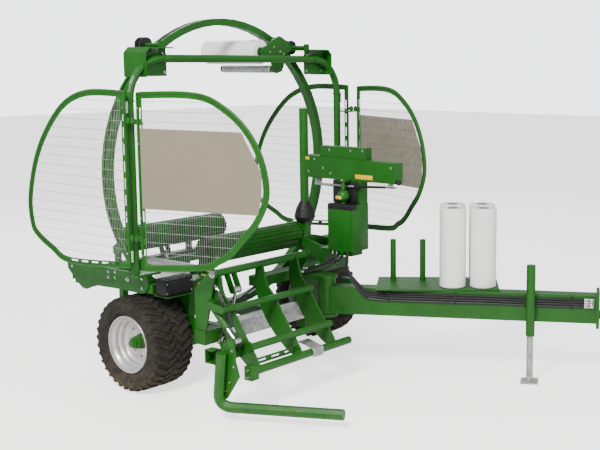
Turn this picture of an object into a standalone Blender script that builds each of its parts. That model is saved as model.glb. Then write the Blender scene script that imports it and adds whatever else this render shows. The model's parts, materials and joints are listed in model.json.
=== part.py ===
"""Trailed round-bale wrapper with a vertical wrapping ring.

Blender 4.5, metres, +X forward, +Y to the machine's left, +Z up. Sizes are measured from the point on
the ground below the middle of the axle; the last step moves the whole machine so that the middle of its
box stands on the origin.
"""

from math import atan2, cos, pi, radians, sin, sqrt

import bmesh
import bpy
from mathutils import Matrix, Vector

GAP = 0.0003
WELD = 0.004
OVERRUN = 0.02
MERGE = 0.0001
FULL_TURN = 360
X_AXIS = Vector((1, 0, 0))
Y_AXIS = Vector((0, 1, 0))
Z_AXIS = Vector((0, 0, 1))
RIGHT, LEFT = -1, 1
SIDE_NAMES = {RIGHT: "right", LEFT: "left"}

# Running gear
TYRE_RADIUS = 0.434
TYRE_WIDTH = 0.45
TREAD_DEPTH = 0.022
RIM_RADIUS = 0.262
SPINDLE_RADIUS = 0.032

# Wrapping ring
RING_RADIUS = 1.42
RING_DEPTH = 0.065
RING_WIDTH = 0.09
RING_X = -0.145
RING_LOW = 0.506
RING_HEIGHT = RING_LOW + RING_RADIUS
RING_STEPS = 64


def ring_half_width(height):
    """How far the ring reaches to each side at one height."""
    return sqrt(RING_RADIUS**2 - (RING_HEIGHT - height) ** 2)



# Chassis
BEAM_TOP = 0.985
BEAM_HEIGHT = 0.085
BEAM_WIDTH = 0.10
BEAM_CLEARANCE = 0.0766
BEAM_OFFSET = ring_half_width(BEAM_TOP) + BEAM_CLEARANCE + BEAM_WIDTH / 2
BEAM_REAR = -0.93
BEAM_FRONTS = {RIGHT: 0.22, LEFT: 0.35}
SHELF_FRONT = 0.21
FRAME_REAR = -1.27
WHEEL_CLEARANCE = 0.023
WHEEL_OFFSET = ring_half_width(TYRE_RADIUS * 2 - TREAD_DEPTH) + WHEEL_CLEARANCE + TYRE_WIDTH / 2
FRONT_FRAME_X = 0.69
FRONT_FRAME_DEPTH = 0.14
SPINE_TOP = 0.44
SPINE_HEIGHT = 0.13
SPINE_WIDTH = 0.10
SPINE_OFFSET = 0.42
AXLE_X = 0.10
AXLE_RADIUS = 0.08

# Bale rollers
ROLLER_RADIUS = 0.13
ROLLER_LENGTH = 1.2
ROLLER_HEIGHT = 1.19
FRONT_ROLLER_X = 0.2
REAR_ROLLER_X = -0.9
ROLLER_SHAFT = 0.025

# Tipping table
TABLE_PIVOT_X = -1.24
TABLE_PIVOT_HEIGHT = 1.03
PIVOT_SHAFT = 0.018

# Portal and guards
PORTAL_X = 0.15
PORTAL_TUCK = 0.06
PORTAL_HALF = RING_RADIUS - PORTAL_TUCK
PORTAL_DROP = 0.386
PORTAL_HEIGHT = RING_HEIGHT + RING_RADIUS - PORTAL_DROP
PORTAL_TUBE = 0.037
PORTAL_BEND = 0.36
GUARD_STAND = 0.105
GUARD_OFFSET = PORTAL_HALF + GUARD_STAND
GUARD_TUBE = 0.014
GUARD_GAP = 0.05
FRONT_GUARD_ANGLES = {RIGHT: radians(15), LEFT: radians(18.5)}

# Loading cradle and arm
CRADLE_RIGHT = -1.1
CRADLE_LEFT = 0.05
CRADLE_PIVOT_X = 0.86
CRADLE_PIVOT_HEIGHT = 1.14
ARM_PIVOT_X = 1.13
ARM_PIVOT_HEIGHT = 0.50
ARM_PLANE = -1.29

# Drawbar
DRAWBAR_X = 0.95
DRAWBAR_Y = 0.25
DRAWBAR_SWING = radians(27)
DRAWBAR_BOTTOM = 0.56
DRAWBAR_TOP = 0.82
DRAWBAR_WIDTH = 0.16
HEAD_BOTTOM = 0.55
HEAD_TOP = 0.89
HEAD_PIN = 0.03

MATERIALS = {
    # name: (red, green, blue, metallic, roughness)
    "green_paint": (0.022, 0.18, 0.014, 0.0, 0.35),
    "galvanised": (0.42, 0.43, 0.43, 0.8, 0.45),
    "silver_paint": (0.52, 0.53, 0.53, 0.3, 0.4),
    "tyre_rubber": (0.022, 0.021, 0.019, 0.0, 0.9),
    "black_plastic": (0.015, 0.015, 0.016, 0.0, 0.5),
    "white_film": (0.86, 0.86, 0.85, 0.0, 0.35),
    "grey_plate": (0.33, 0.30, 0.22, 0.2, 0.5),
    "polished_steel": (0.62, 0.62, 0.61, 1.0, 0.2),
}


def clear_scene():
    for item in list(bpy.data.objects):
        bpy.data.objects.remove(item, do_unlink=True)


def new_collection(name):
    made = bpy.data.collections.new(name)
    bpy.context.scene.collection.children.link(made)
    return made


def material(name):
    found = bpy.data.materials.get(name)
    if found:
        return found
    red, green, blue, metallic, roughness = MATERIALS[name]
    made = bpy.data.materials.new(name)
    made.use_nodes = True
    shader = made.node_tree.nodes["Principled BSDF"]
    shader.inputs["Base Color"].default_value = (red, green, blue, 1)
    shader.inputs["Metallic"].default_value = metallic
    shader.inputs["Roughness"].default_value = roughness
    return made


def baked(item):
    """Turns a curve or an object with modifiers into a plain mesh object with welded caps."""
    graph = bpy.context.evaluated_depsgraph_get()
    mesh = bpy.data.meshes.new_from_object(item.evaluated_get(graph))
    made = bpy.data.objects.new(item.name, mesh)
    made.matrix_world = item.matrix_world.copy()
    bpy.context.scene.collection.objects.link(made)
    bpy.data.objects.remove(item, do_unlink=True)
    shape = bmesh.new()
    shape.from_mesh(mesh)
    bmesh.ops.remove_doubles(shape, verts=shape.verts, dist=MERGE)
    bmesh.ops.transform(shape, matrix=made.matrix_world, verts=shape.verts)
    bmesh.ops.recalc_face_normals(shape, faces=shape.faces)
    shape.to_mesh(mesh)
    shape.free()
    made.matrix_world = Matrix.Identity(4)
    return made


def frame(origin, along, up):
    """A placing matrix whose local X is 'along' and local Y is 'up'."""
    x = Vector(along).normalized()
    z = x.cross(Vector(up)).normalized()
    y = z.cross(x)
    turn = Matrix((x, y, z)).transposed().to_4x4()
    return Matrix.Translation(Vector(origin)) @ turn


def box(low, high, turn=None):
    """A box between two corners; turn is an optional placing matrix."""
    low, high = Vector(low), Vector(high)
    bpy.ops.mesh.primitive_cube_add(size=1, location=(low + high) / 2)
    item = bpy.context.object
    item.scale = high - low
    bpy.context.view_layer.update()
    if turn is not None:
        item.matrix_world = turn @ item.matrix_world
        bpy.context.view_layer.update()
    return baked(item)


def rod(start, end, radius, sides=16):
    start, end = Vector(start), Vector(end)
    bpy.ops.mesh.primitive_cylinder_add(vertices=sides, radius=radius, depth=(end - start).length)
    item = bpy.context.object
    item.matrix_world = Matrix.Translation((start + end) / 2) @ (end - start).to_track_quat("Z", "Y").to_matrix().to_4x4()
    bpy.context.view_layer.update()
    return baked(item)


def tube(points, radius, closed=False, detail=2):
    """A round tube along a list of points."""
    curve = bpy.data.curves.new("tube", "CURVE")
    curve.dimensions = "3D"
    curve.bevel_depth = radius
    curve.bevel_resolution = detail
    curve.use_fill_caps = not closed
    line = curve.splines.new("POLY")
    line.points.add(len(points) - 1)
    for point, place in zip(line.points, points):
        point.co = (*place, 1)
    line.use_cyclic_u = closed
    item = bpy.data.objects.new("tube", curve)
    bpy.context.scene.collection.objects.link(item)
    bpy.context.view_layer.update()
    return baked(item)


def plate(outline, thickness, place, holes=()):
    """A flat plate: outline in local X and Y, centred on the placing matrix's plane."""
    curve = bpy.data.curves.new("plate", "CURVE")
    curve.dimensions = "2D"
    curve.fill_mode = "BOTH"
    curve.extrude = thickness / 2
    for loop in (outline, *holes):
        line = curve.splines.new("POLY")
        line.points.add(len(loop) - 1)
        for point, (x, y) in zip(line.points, loop):
            point.co = (x, y, 0, 1)
        line.use_cyclic_u = True
    item = bpy.data.objects.new("plate", curve)
    bpy.context.scene.collection.objects.link(item)
    item.matrix_world = place
    bpy.context.view_layer.update()
    return baked(item)


def turned(profile, steps, centre, axis):
    """Turns a closed outline of (radius, along) about an axis through a centre."""
    mesh = bpy.data.meshes.new("turned")
    count = len(profile)
    edges = [(n, (n + 1) % count) for n in range(count)]
    mesh.from_pydata([(radius, 0, along) for radius, along in profile], edges, [])
    item = bpy.data.objects.new("turned", mesh)
    bpy.context.scene.collection.objects.link(item)
    screw = item.modifiers.new("turn", "SCREW")
    screw.axis = "Z"
    screw.steps = screw.render_steps = steps
    screw.use_merge_vertices = True
    screw.merge_threshold = MERGE
    item.matrix_world = Matrix.Translation(Vector(centre)) @ Vector(axis).to_track_quat("Z", "Y").to_matrix().to_4x4()
    bpy.context.view_layer.update()
    return baked(item)


def joined(items):
    """Puts meshes that don't touch each other into one object."""
    shape = bmesh.new()
    for item in items:
        shape.from_mesh(item.data)
    mesh = bpy.data.meshes.new("joined")
    shape.to_mesh(mesh)
    shape.free()
    for item in items:
        bpy.data.objects.remove(item, do_unlink=True)
    made = bpy.data.objects.new("joined", mesh)
    bpy.context.scene.collection.objects.link(made)
    return made


def combine(base, other, operation):
    change = base.modifiers.new("combine", "BOOLEAN")
    change.operation = operation
    change.solver = "EXACT"
    change.object = other
    bpy.context.view_layer.update()
    made = baked(base)
    bpy.data.objects.remove(other, do_unlink=True)
    return made


def fused(items):
    base = items[0]
    for item in items[1:]:
        base = combine(base, item, "UNION")
    return base


def carved(base, cutters):
    for cutter in cutters:
        base = combine(base, cutter, "DIFFERENCE")
    return base


def finish(item, name, material_name, parent):
    """Names a finished solid, gives it its material and hangs it on its body's empty."""
    item.name = name
    item.data.name = name
    item.data.materials.clear()
    item.data.materials.append(material(material_name))
    item.data.shade_smooth()
    item.data.set_sharp_from_angle(angle=radians(30))
    for holder in list(item.users_collection):
        holder.objects.unlink(item)
    PARTS.objects.link(item)
    item.parent = parent
    item.matrix_parent_inverse = parent.matrix_world.inverted()
    return item


def pivot(name, place, parent=None):
    """An empty on a joint's axis."""
    item = bpy.data.objects.new(name, None)
    PARTS.objects.link(item)
    item.location = place
    bpy.context.view_layer.update()
    if parent:
        item.parent = parent
        item.matrix_parent_inverse = parent.matrix_world.inverted()
    bpy.context.view_layer.update()
    return item


def eased(points, steps):
    """A smooth open line through points, with a few steps from each point to the next."""
    ends = [points[0], *points, points[-1]]
    line = [points[0]]
    for before, start, end, after in zip(ends, ends[1:], ends[2:], ends[3:]):
        for n in range(1, steps + 1):
            t = n / steps
            shares = ((2 - t) * t * t - t, (3 * t - 5) * t * t + 2, (4 - 3 * t) * t * t + t, (t - 1) * t * t)
            line.append(tuple(sum(s * p for s, p in zip(shares, pair)) / 2 for pair in zip(before, start, end, after)))
    return line


def inset(outline, distance):
    """The outline moved inwards by a distance, for one that runs clockwise."""
    count = len(outline)
    moved = []
    for n in range(count):
        point = Vector(outline[n])
        before = (point - Vector(outline[n - 1])).normalized()
        after = (Vector(outline[(n + 1) % count]) - point).normalized()
        across = Vector((before.y + after.y, -before.x - after.x))
        moved.append(tuple(point + across * distance / (1 + before.dot(after))))
    return moved


def bend(start, corner, end, steps):
    """Points on a smooth bend from start to end that leans on a corner."""
    line = []
    for n in range(steps + 1):
        t = n / steps
        line.append(Vector(start) * (1 - t) ** 2 + Vector(corner) * 2 * t * (1 - t) + Vector(end) * t * t)
    return line


def arc(centre, radius, start, end, steps):
    """Points on an arc in a plane, angles in degrees."""
    cx, cy = centre
    turns = [radians(start + (end - start) * n / steps) for n in range(steps + 1)]
    return [(cx + radius * cos(turn), cy + radius * sin(turn)) for turn in turns]


def circle(centre, radius, sides=16):
    return arc(centre, radius, 0, 360 * (sides - 1) / sides, sides - 1)


# Wheels
TYRE_HALF = TYRE_WIDTH / 2
CROWN_RADIUS = TYRE_RADIUS - TREAD_DEPTH
SHOULDER_DROP = 0.028
SHOULDER_INSET = 0.022
BEAD_INSET = 0.055
BEAD_LAP = 0.012
TYRE_STEPS = 28
LUGS = 16
LUG_LENGTH = 0.19
LUG_WIDTH = 0.05
LUG_SINK = 0.03
LUG_SWEEP = radians(24)
RIM_WALL = 0.012
RIM_WELL = 0.20
DISH_RADIUS = 0.215
DISH_FACE = 0.075
HUB_RADIUS = 0.07
HUB_LENGTH = 0.14
HUB_BORE = SPINDLE_RADIUS + 0.004
RIM_HALF = TYRE_HALF - BEAD_INSET


def tyre(side, parent):
    centre = Vector((0, side * WHEEL_OFFSET, TYRE_RADIUS))
    bead = RIM_RADIUS + GAP
    flank = (bead + CROWN_RADIUS) / 2
    half = [
        (bead, 0.0),
        (bead, RIM_HALF - BEAD_LAP),
        (bead + BEAD_LAP, TYRE_HALF - BEAD_INSET / 2),
        (flank, TYRE_HALF),
        (CROWN_RADIUS - SHOULDER_DROP * 2, TYRE_HALF - SHOULDER_INSET / 2),
        (CROWN_RADIUS - SHOULDER_DROP / 2, TYRE_HALF - SHOULDER_INSET * 2),
        (CROWN_RADIUS, 0.0),
    ]
    profile = half + [(radius, -along) for radius, along in half[-2:0:-1]]
    base = turned(profile, TYRE_STEPS, centre, Y_AXIS)
    lugs = []
    for row in (-1, 1):
        for number in range(LUGS):
            turn = 2 * pi * (number + (0.5 if row > 0 else 0)) / LUGS
            place = (
                Matrix.Translation(centre)
                @ Matrix.Rotation(turn, 4, "Y")
                @ Matrix.Translation((0, row * (TYRE_HALF - LUG_LENGTH / 2), TYRE_RADIUS))
                @ Matrix.Rotation(row * LUG_SWEEP, 4, "Z")
            )
            drop = SHOULDER_DROP
            outline = [
                (-LUG_LENGTH / 2, -LUG_SINK - drop),
                (LUG_LENGTH / 2 * 0.92, -LUG_SINK - drop * 2),
                (LUG_LENGTH / 2, -drop),
                (LUG_LENGTH / 2 - SHOULDER_INSET, -drop / 3),
                (0, 0.001),
                (-LUG_LENGTH / 2, -drop / 5),
            ]
            turned_row = place @ Matrix.Scale(row, 4, Y_AXIS) @ frame((0, 0, 0), Y_AXIS, Z_AXIS)
            lugs.append(plate(outline, LUG_WIDTH, turned_row))
    return finish(fused([base, joined(lugs)]), f"tyre_{SIDE_NAMES[side]}", "tyre_rubber", parent)


def rim(side, parent):
    """Deep-dished disc wheel with its hub, open side outwards."""
    centre = Vector((0, side * WHEEL_OFFSET, TYRE_RADIUS))
    outer = RIM_RADIUS
    edge = TYRE_HALF - BEAD_INSET / 2
    profile = [
        (outer, -RIM_HALF),
        (outer, RIM_HALF - BEAD_LAP),
        (outer - GAP, edge),
        (outer - RIM_WALL, edge),
        (outer - RIM_WALL, RIM_HALF - RIM_WALL),
        (DISH_RADIUS, RIM_HALF - RIM_WALL * 3),
        (DISH_RADIUS - RIM_WALL, DISH_FACE + RIM_WALL * 2),
        (HUB_RADIUS + RIM_WALL * 3, DISH_FACE),
        (HUB_RADIUS, DISH_FACE),
        (HUB_RADIUS, DISH_FACE + HUB_LENGTH / 2),
        (HUB_BORE, DISH_FACE + HUB_LENGTH / 2),
        (HUB_BORE, DISH_FACE - HUB_LENGTH),
        (HUB_RADIUS, DISH_FACE - HUB_LENGTH),
        (HUB_RADIUS, DISH_FACE - RIM_WALL),
        (DISH_RADIUS - RIM_WALL, DISH_FACE),
        (outer - RIM_WALL, DISH_FACE),
        (outer - RIM_WALL, -RIM_HALF),
    ]
    item = turned(profile, TYRE_STEPS, centre, side * Y_AXIS)
    return finish(item, f"wheel_rim_{SIDE_NAMES[side]}", "silver_paint", parent)


# Chassis frame
FRONT_BAR_LOW = 0.49
FRONT_BAR_HIGH = 0.63
FRONT_BAR_RIGHT = -0.46
FRONT_BAR_LEFT = 0.79
FRAME_BAR = 0.10
UPRIGHT_TOP = 0.75
LEG_WIDTH = 0.08
LEG_CLEARANCE = 0.02
LEG_OUTER = WHEEL_OFFSET - TYRE_WIDTH / 2 - LEG_CLEARANCE
LEG_REAR = -0.03
LEG_FRONT = 0.28
LEG_BOTTOM = 0.30
LEG_TOP_SPREAD = 0.08
LEG_TOP_REAR = 0.088
LEG_STEP = 0.80
LEG_STEP_LOW = 0.66
SPINDLE_LENGTH = 0.40
REAR_BEAM_HEIGHT = 0.11
REAR_BEAM_WIDTH = 0.10
REAR_BEAM_TOP = 0.90
REAR_BEAM_HALF = 0.62
REAR_POST = 0.07
REAR_TIE_X = -0.86
REAR_TIE_HALF = 0.035
REAR_TIE_LOW = 0.865
SIDE_SHEET = 0.02
SIDE_TOP = 1.07
SIDE_PLATE = (
    # along, height of the outer plate beside each rail
    (-0.98, SIDE_TOP), (-0.97, 1.00), (-0.86, 0.90), (-0.76, 0.835), (-0.70, 0.83), (-0.62, 0.86),
    (-0.53, 0.885), (-0.19, 0.895), (0.07, 0.89), (0.13, 0.90), (0.17, 0.94), (0.18, 1.00),
    (0.17, 1.05), (0.13, SIDE_TOP),
)
LUG_PLATE = 0.02
LUG_EYE = 0.045
TABLE_LUG_OFFSET = 0.47
FORK_PLATE = 0.03
FORK_GAP = GAP
FORK_RADIUS = 0.10
CRADLE_LUG_GAP = GAP
ROLLER_ARM = 0.05
ROLLER_PLATE = 0.025
ROLLER_PLATE_GAP = GAP
ROLLER_STAND_REAR = 0.12
ROLLER_STAND_FRONT = 0.30


def eye_plate(eye, base, plane, thickness, radius):
    """A lug: a round eye at 'eye' tapering to a foot at 'base'; both are (x, z) in the plane y = plane."""
    ex, ez = eye
    bx, bz = base
    lean = atan2(bz - ez, bx - ex)
    side = Vector((-sin(lean), cos(lean)))
    outline = [
        (bx + side.x * radius, bz + side.y * radius),
        (ex + side.x * radius, ez + side.y * radius),
    ]
    steps = 8
    for n in range(1, steps):
        turn = lean + pi / 2 + pi * n / steps
        outline.append((ex + radius * cos(turn), ez + radius * sin(turn)))
    outline += [
        (ex - side.x * radius, ez - side.y * radius),
        (bx - side.x * radius, bz - side.y * radius),
    ]
    return plate(outline, thickness, frame((0, plane, 0), X_AXIS, Z_AXIS))


def side_rails(side):
    front_edge = FRONT_FRAME_X + FRONT_FRAME_DEPTH / 2
    low = BEAM_TOP - BEAM_HEIGHT
    inner, outer = BEAM_OFFSET - BEAM_WIDTH / 2, BEAM_OFFSET + BEAM_WIDTH / 2
    rail = box(*ordered((BEAM_REAR, side * inner, low), (BEAM_FRONTS[side], side * outer, BEAM_TOP)))
    leg_inner = LEG_OUTER - LEG_WIDTH
    leg_outline = [
        (LEG_TOP_REAR, BEAM_TOP - WELD),
        (LEG_TOP_REAR, LEG_STEP),
        (LEG_REAR, LEG_STEP_LOW),
        (LEG_REAR, LEG_BOTTOM + LEG_WIDTH),
        (LEG_REAR + LEG_WIDTH, LEG_BOTTOM),
        (LEG_FRONT - LEG_WIDTH, LEG_BOTTOM),
        (LEG_FRONT, LEG_BOTTOM + LEG_WIDTH),
        (LEG_FRONT + LEG_TOP_SPREAD, BEAM_TOP - WELD),
    ]
    leg = plate(leg_outline, LEG_WIDTH, frame((0, side * (leg_inner + LEG_WIDTH / 2), 0), X_AXIS, Z_AXIS))
    reach = box(
        *ordered(
            (LEG_FRONT - LEG_WIDTH, side * (leg_inner + WELD), FRONT_BAR_LOW + WELD),
            (front_edge, side * (LEG_OUTER - WELD), FRONT_BAR_HIGH - WELD),
        )
    )
    skin = plate(SIDE_PLATE, SIDE_SHEET, frame((0, side * (outer + SIDE_SHEET / 2 - WELD), 0), X_AXIS, Z_AXIS))
    shelf = box(
        *ordered(
            (LEG_TOP_REAR + WELD, side * (leg_inner + WELD), low + WELD),
            (SHELF_FRONT, side * (inner + WELD), BEAM_TOP - WELD * 2),
        )
    )
    spindle = rod(
        (0, side * (LEG_OUTER - WELD), TYRE_RADIUS),
        (0, side * (LEG_OUTER + SPINDLE_LENGTH), TYRE_RADIUS),
        SPINDLE_RADIUS,
    )
    hub_end = WHEEL_OFFSET + DISH_FACE - HUB_LENGTH - GAP
    collar = rod((0, side * (LEG_OUTER - WELD), TYRE_RADIUS), (0, side * hub_end, TYRE_RADIUS), HUB_RADIUS)
    return [rail, leg, shelf, collar, spindle, reach, skin]


def ordered(one, two):
    low = tuple(min(a, b) for a, b in zip(one, two))
    high = tuple(max(a, b) for a, b in zip(one, two))
    return low, high


def chassis_frame(parent):
    front_low = FRONT_FRAME_X - FRONT_FRAME_DEPTH / 2
    front_high = FRONT_FRAME_X + FRONT_FRAME_DEPTH / 2
    beam_low = BEAM_TOP - BEAM_HEIGHT
    half = BEAM_OFFSET + BEAM_WIDTH / 2
    items = [
        rod(
            (AXLE_X, -LEG_OUTER + WELD, LEG_BOTTOM + AXLE_RADIUS),
            (AXLE_X, LEG_OUTER - WELD, LEG_BOTTOM + AXLE_RADIUS),
            AXLE_RADIUS,
            20,
        ),
        box((front_low, FRONT_BAR_RIGHT, beam_low - WELD), (front_high, FRONT_BAR_LEFT, BEAM_TOP + WELD)),
        box(
            (front_low, DRAWBAR_Y - FORK_RADIUS, FRONT_BAR_LOW),
            (front_high - WELD, LEG_OUTER - WELD * 2, FRONT_BAR_HIGH),
        ),
        box(
            (FRAME_REAR - WELD, -REAR_BEAM_HALF, REAR_BEAM_TOP - REAR_BEAM_HEIGHT),
            (FRAME_REAR + REAR_BEAM_WIDTH, REAR_BEAM_HALF, REAR_BEAM_TOP + WELD),
        ),
        box(
            (REAR_TIE_X - REAR_TIE_HALF, -half + WELD, REAR_TIE_LOW),
            (REAR_TIE_X + REAR_TIE_HALF, half - WELD, beam_low + REAR_TIE_HALF),
        ),
        box(
            (front_low + WELD, LEG_OUTER - LEG_WIDTH, FRONT_BAR_HIGH - WELD * 2),
            (front_high - WELD * 3, LEG_OUTER - WELD, UPRIGHT_TOP),
        ),
    ]
    for side in (RIGHT, LEFT):
        items += side_rails(side)
        spine = side * SPINE_OFFSET
        items.append(
            box(
                (FRAME_REAR, spine - SPINE_WIDTH / 2, SPINE_TOP - SPINE_HEIGHT),
                (AXLE_X, spine + SPINE_WIDTH / 2, SPINE_TOP),
            )
        )
        for post, top in ((FRAME_REAR + REAR_POST / 2, REAR_BEAM_TOP), (REAR_TIE_X, beam_low)):
            items.append(
                box(
                    (post - REAR_POST / 2 + WELD, spine - REAR_POST / 2, SPINE_TOP - WELD),
                    (post + REAR_POST / 2 - WELD, spine + REAR_POST / 2, top - WELD),
                )
            )
        items += lower_guide(side)
        lug = side * TABLE_LUG_OFFSET
        foot = (TABLE_PIVOT_X, REAR_BEAM_TOP - WELD)
        items.append(eye_plate((TABLE_PIVOT_X, TABLE_PIVOT_HEIGHT), foot, lug, LUG_PLATE, LUG_EYE))
    items.append(
        rod(
            (TABLE_PIVOT_X, -TABLE_LUG_OFFSET, TABLE_PIVOT_HEIGHT),
            (TABLE_PIVOT_X, TABLE_LUG_OFFSET, TABLE_PIVOT_HEIGHT),
            PIVOT_SHAFT,
            12,
        )
    )
    items += cradle_mount(front_high)
    items += drawbar_fork(front_high)
    items += roller_arms(front_low)
    items += housing_shelf(front_high)
    items += cylinder_bases(front_low)
    return finish(fused(items), "chassis_frame", "green_paint", parent)


def lower_guide(side):
    """A lug on the inner face of each leg with the axle of the lower guide wheels."""
    middle, hold = guide_place("lower", side)
    lug = box(
        *ordered(
            (LEG_REAR + WELD, side * (LEG_OUTER - LEG_WIDTH + WELD), middle.z - GUIDE_LUG),
            (LEG_REAR + GUIDE_LUG, middle.y - side * GUIDE_LUG, middle.z + GUIDE_LUG),
        )
    )
    return [lug, guide_axle("lower", side)]


def housing_shelf(front):
    """The bracket that carries the valve housing on the front frame."""
    foot = BEAM_TOP - WELD
    back = front - FRONT_FRAME_DEPTH / 2
    return [
        box((back, HOUSING_RIGHT + SHELF_INSET, foot), (front, HOUSING_LEFT - SHELF_INSET, HOUSING_BOTTOM - GAP)),
        box(
            (front - WELD, HOUSING_RIGHT + SHELF_INSET + WELD, HOUSING_BOTTOM - SHELF_DEPTH),
            (HOUSING_FRONT - SHELF_INSET, HOUSING_LEFT - SHELF_INSET - WELD, HOUSING_BOTTOM - GAP * 2),
        ),
    ]


def lift_lugs(eye, foot, plane):
    """Two plates either side of a cylinder's eye, with no pin between them."""
    offset = CYLINDER_EYE_HALF + LIFT_GAP + LIFT_PLATE / 2
    return [eye_plate(eye, foot, plane + near * offset, LIFT_PLATE, CYLINDER_LUG) for near in (-1, 1)]


def lug_pin(eye, plane):
    """The pin through two lugs that a cylinder's base turns on."""
    reach = CYLINDER_EYE_HALF + LIFT_GAP + LIFT_PLATE / 2
    x, z = eye
    return rod((x, plane - reach, z), (x, plane + reach, z), CYLINDER_PIN, 10)


def cylinder_bases(front_low):
    """The chassis ends of the table's, the cradle's and the drawbar's cylinders."""
    rear, fore = TABLE_BASE[0] - FRAME_BAR / 2, TABLE_BASE[0] + FRAME_BAR / 2
    cross = box((rear, -SPINE_OFFSET, SPINE_TOP - SPINE_HEIGHT + WELD), (fore, SPINE_OFFSET, SPINE_TOP - WELD))
    items = [cross, *lift_lugs(TABLE_BASE, (TABLE_BASE[0], SPINE_TOP - WELD * 2), 0.0), lug_pin(TABLE_BASE, 0.0)]
    bar = (front_low + FRONT_FRAME_DEPTH - LIFT_PLATE, (FRONT_BAR_LOW + FRONT_BAR_HIGH) / 2)
    items += [*lift_lugs(CRADLE_BASE, bar, CRADLE_LIFT_Y), lug_pin(CRADLE_BASE, CRADLE_LIFT_Y)]
    x, y = SWING_BASE
    offset = CYLINDER_EYE_HALF + LIFT_GAP + LIFT_PLATE / 2
    outline = [(front_low + FRONT_FRAME_DEPTH - WELD * 2, y - CYLINDER_LUG), (x, y - CYLINDER_LUG)]
    outline += arc((x, y), CYLINDER_LUG, -75, 75, 6)
    outline += [(x, y + CYLINDER_LUG), (front_low + FRONT_FRAME_DEPTH - WELD * 2, y + CYLINDER_LUG)]
    for near in (-1, 1):
        items.append(plate(outline, LIFT_PLATE, Matrix.Translation((0, 0, SWING_HEIGHT + near * offset))))
    items.append(rod((x, y, SWING_HEIGHT - offset), (x, y, SWING_HEIGHT + offset), CYLINDER_PIN, 10))
    return items


def cradle_mount(front):
    """The cross piece under the tall plate, a lug on the front bar and the shaft that the cradle turns on."""
    right = CRADLE_RIGHT - CRADLE_LUG_GAP - LUG_PLATE / 2
    left = CRADLE_LEFT + CRADLE_LUG_GAP + LUG_PLATE / 2
    foot = (front - LUG_EYE, BEAM_TOP - LUG_PLATE)
    eye = (CRADLE_PIVOT_X, CRADLE_PIVOT_HEIGHT)
    cross = box(
        (front - FRONT_FRAME_DEPTH + WELD, right - LUG_PLATE, FRONT_BAR_LOW + WELD * 2),
        (front - WELD, -(LEG_OUTER - LEG_WIDTH + WELD * 2), FRONT_BAR_HIGH - WELD * 2),
    )
    return [
        cross,
        eye_plate(eye, foot, left, LUG_PLATE, LUG_EYE),
        rod((eye[0], CRADLE_RIGHT, eye[1]), (eye[0], left, eye[1]), PIVOT_SHAFT, 12),
    ]


def cradle_stand(parent):
    """The tall plate that stands on the cross piece and holds the right end of the cradle's shaft."""
    front = FRONT_FRAME_X + FRONT_FRAME_DEPTH / 2
    rear = front - FRONT_FRAME_DEPTH
    foot = FRONT_BAR_HIGH - WELD * 2 + GAP
    outline = [
        (front - WELD * 2, foot),
        (rear + WELD * 2, foot),
        (rear + WELD * 2, BEAM_TOP),
        *arc((CRADLE_PIVOT_X, CRADLE_PIVOT_HEIGHT), LUG_EYE, FULL_TURN / 3, -FULL_TURN / 6, 10),
    ]
    plane = CRADLE_RIGHT - CRADLE_LUG_GAP - LUG_PLATE / 2
    items = [plate(outline, LUG_PLATE, frame((0, plane, 0), X_AXIS, Z_AXIS))]
    return finish(fused(items), "cradle_stand", "green_paint", parent)


def drawbar_fork(front):
    """Upper and lower plates with the pin that the drawbar swings on."""
    items = []
    for low in (HEAD_BOTTOM - FORK_GAP - FORK_PLATE, HEAD_TOP + FORK_GAP):
        outline = [
            (front - FORK_RADIUS, DRAWBAR_Y - FORK_RADIUS + WELD),
            (front + WELD, DRAWBAR_Y - FORK_RADIUS + WELD),
            (front + WELD, DRAWBAR_Y - FORK_RADIUS * 1.5),
            (DRAWBAR_X, DRAWBAR_Y - FORK_RADIUS),
        ]
        outline += arc((DRAWBAR_X, DRAWBAR_Y), FORK_RADIUS, -75, 75, 8)
        outline += [(DRAWBAR_X, DRAWBAR_Y + FORK_RADIUS), (front - FORK_RADIUS, DRAWBAR_Y + FORK_RADIUS * 1.5)]
        items.append(plate(outline, FORK_PLATE, Matrix.Translation((0, 0, low + FORK_PLATE / 2))))
    items.append(
        rod(
            (DRAWBAR_X, DRAWBAR_Y, HEAD_BOTTOM - FORK_GAP - FORK_PLATE / 2),
            (DRAWBAR_X, DRAWBAR_Y, HEAD_TOP + FORK_GAP + FORK_PLATE / 2),
            HEAD_PIN,
            16,
        )
    )
    post_low = FRONT_BAR_LOW - FRAME_BAR
    items.append(
        box(
            (front - FRONT_FRAME_DEPTH + WELD * 2, DRAWBAR_Y - FORK_RADIUS, post_low),
            (front - WELD * 2, DRAWBAR_Y + FORK_RADIUS, BEAM_TOP - BEAM_HEIGHT + WELD * 2),
        )
    )
    return items


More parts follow.
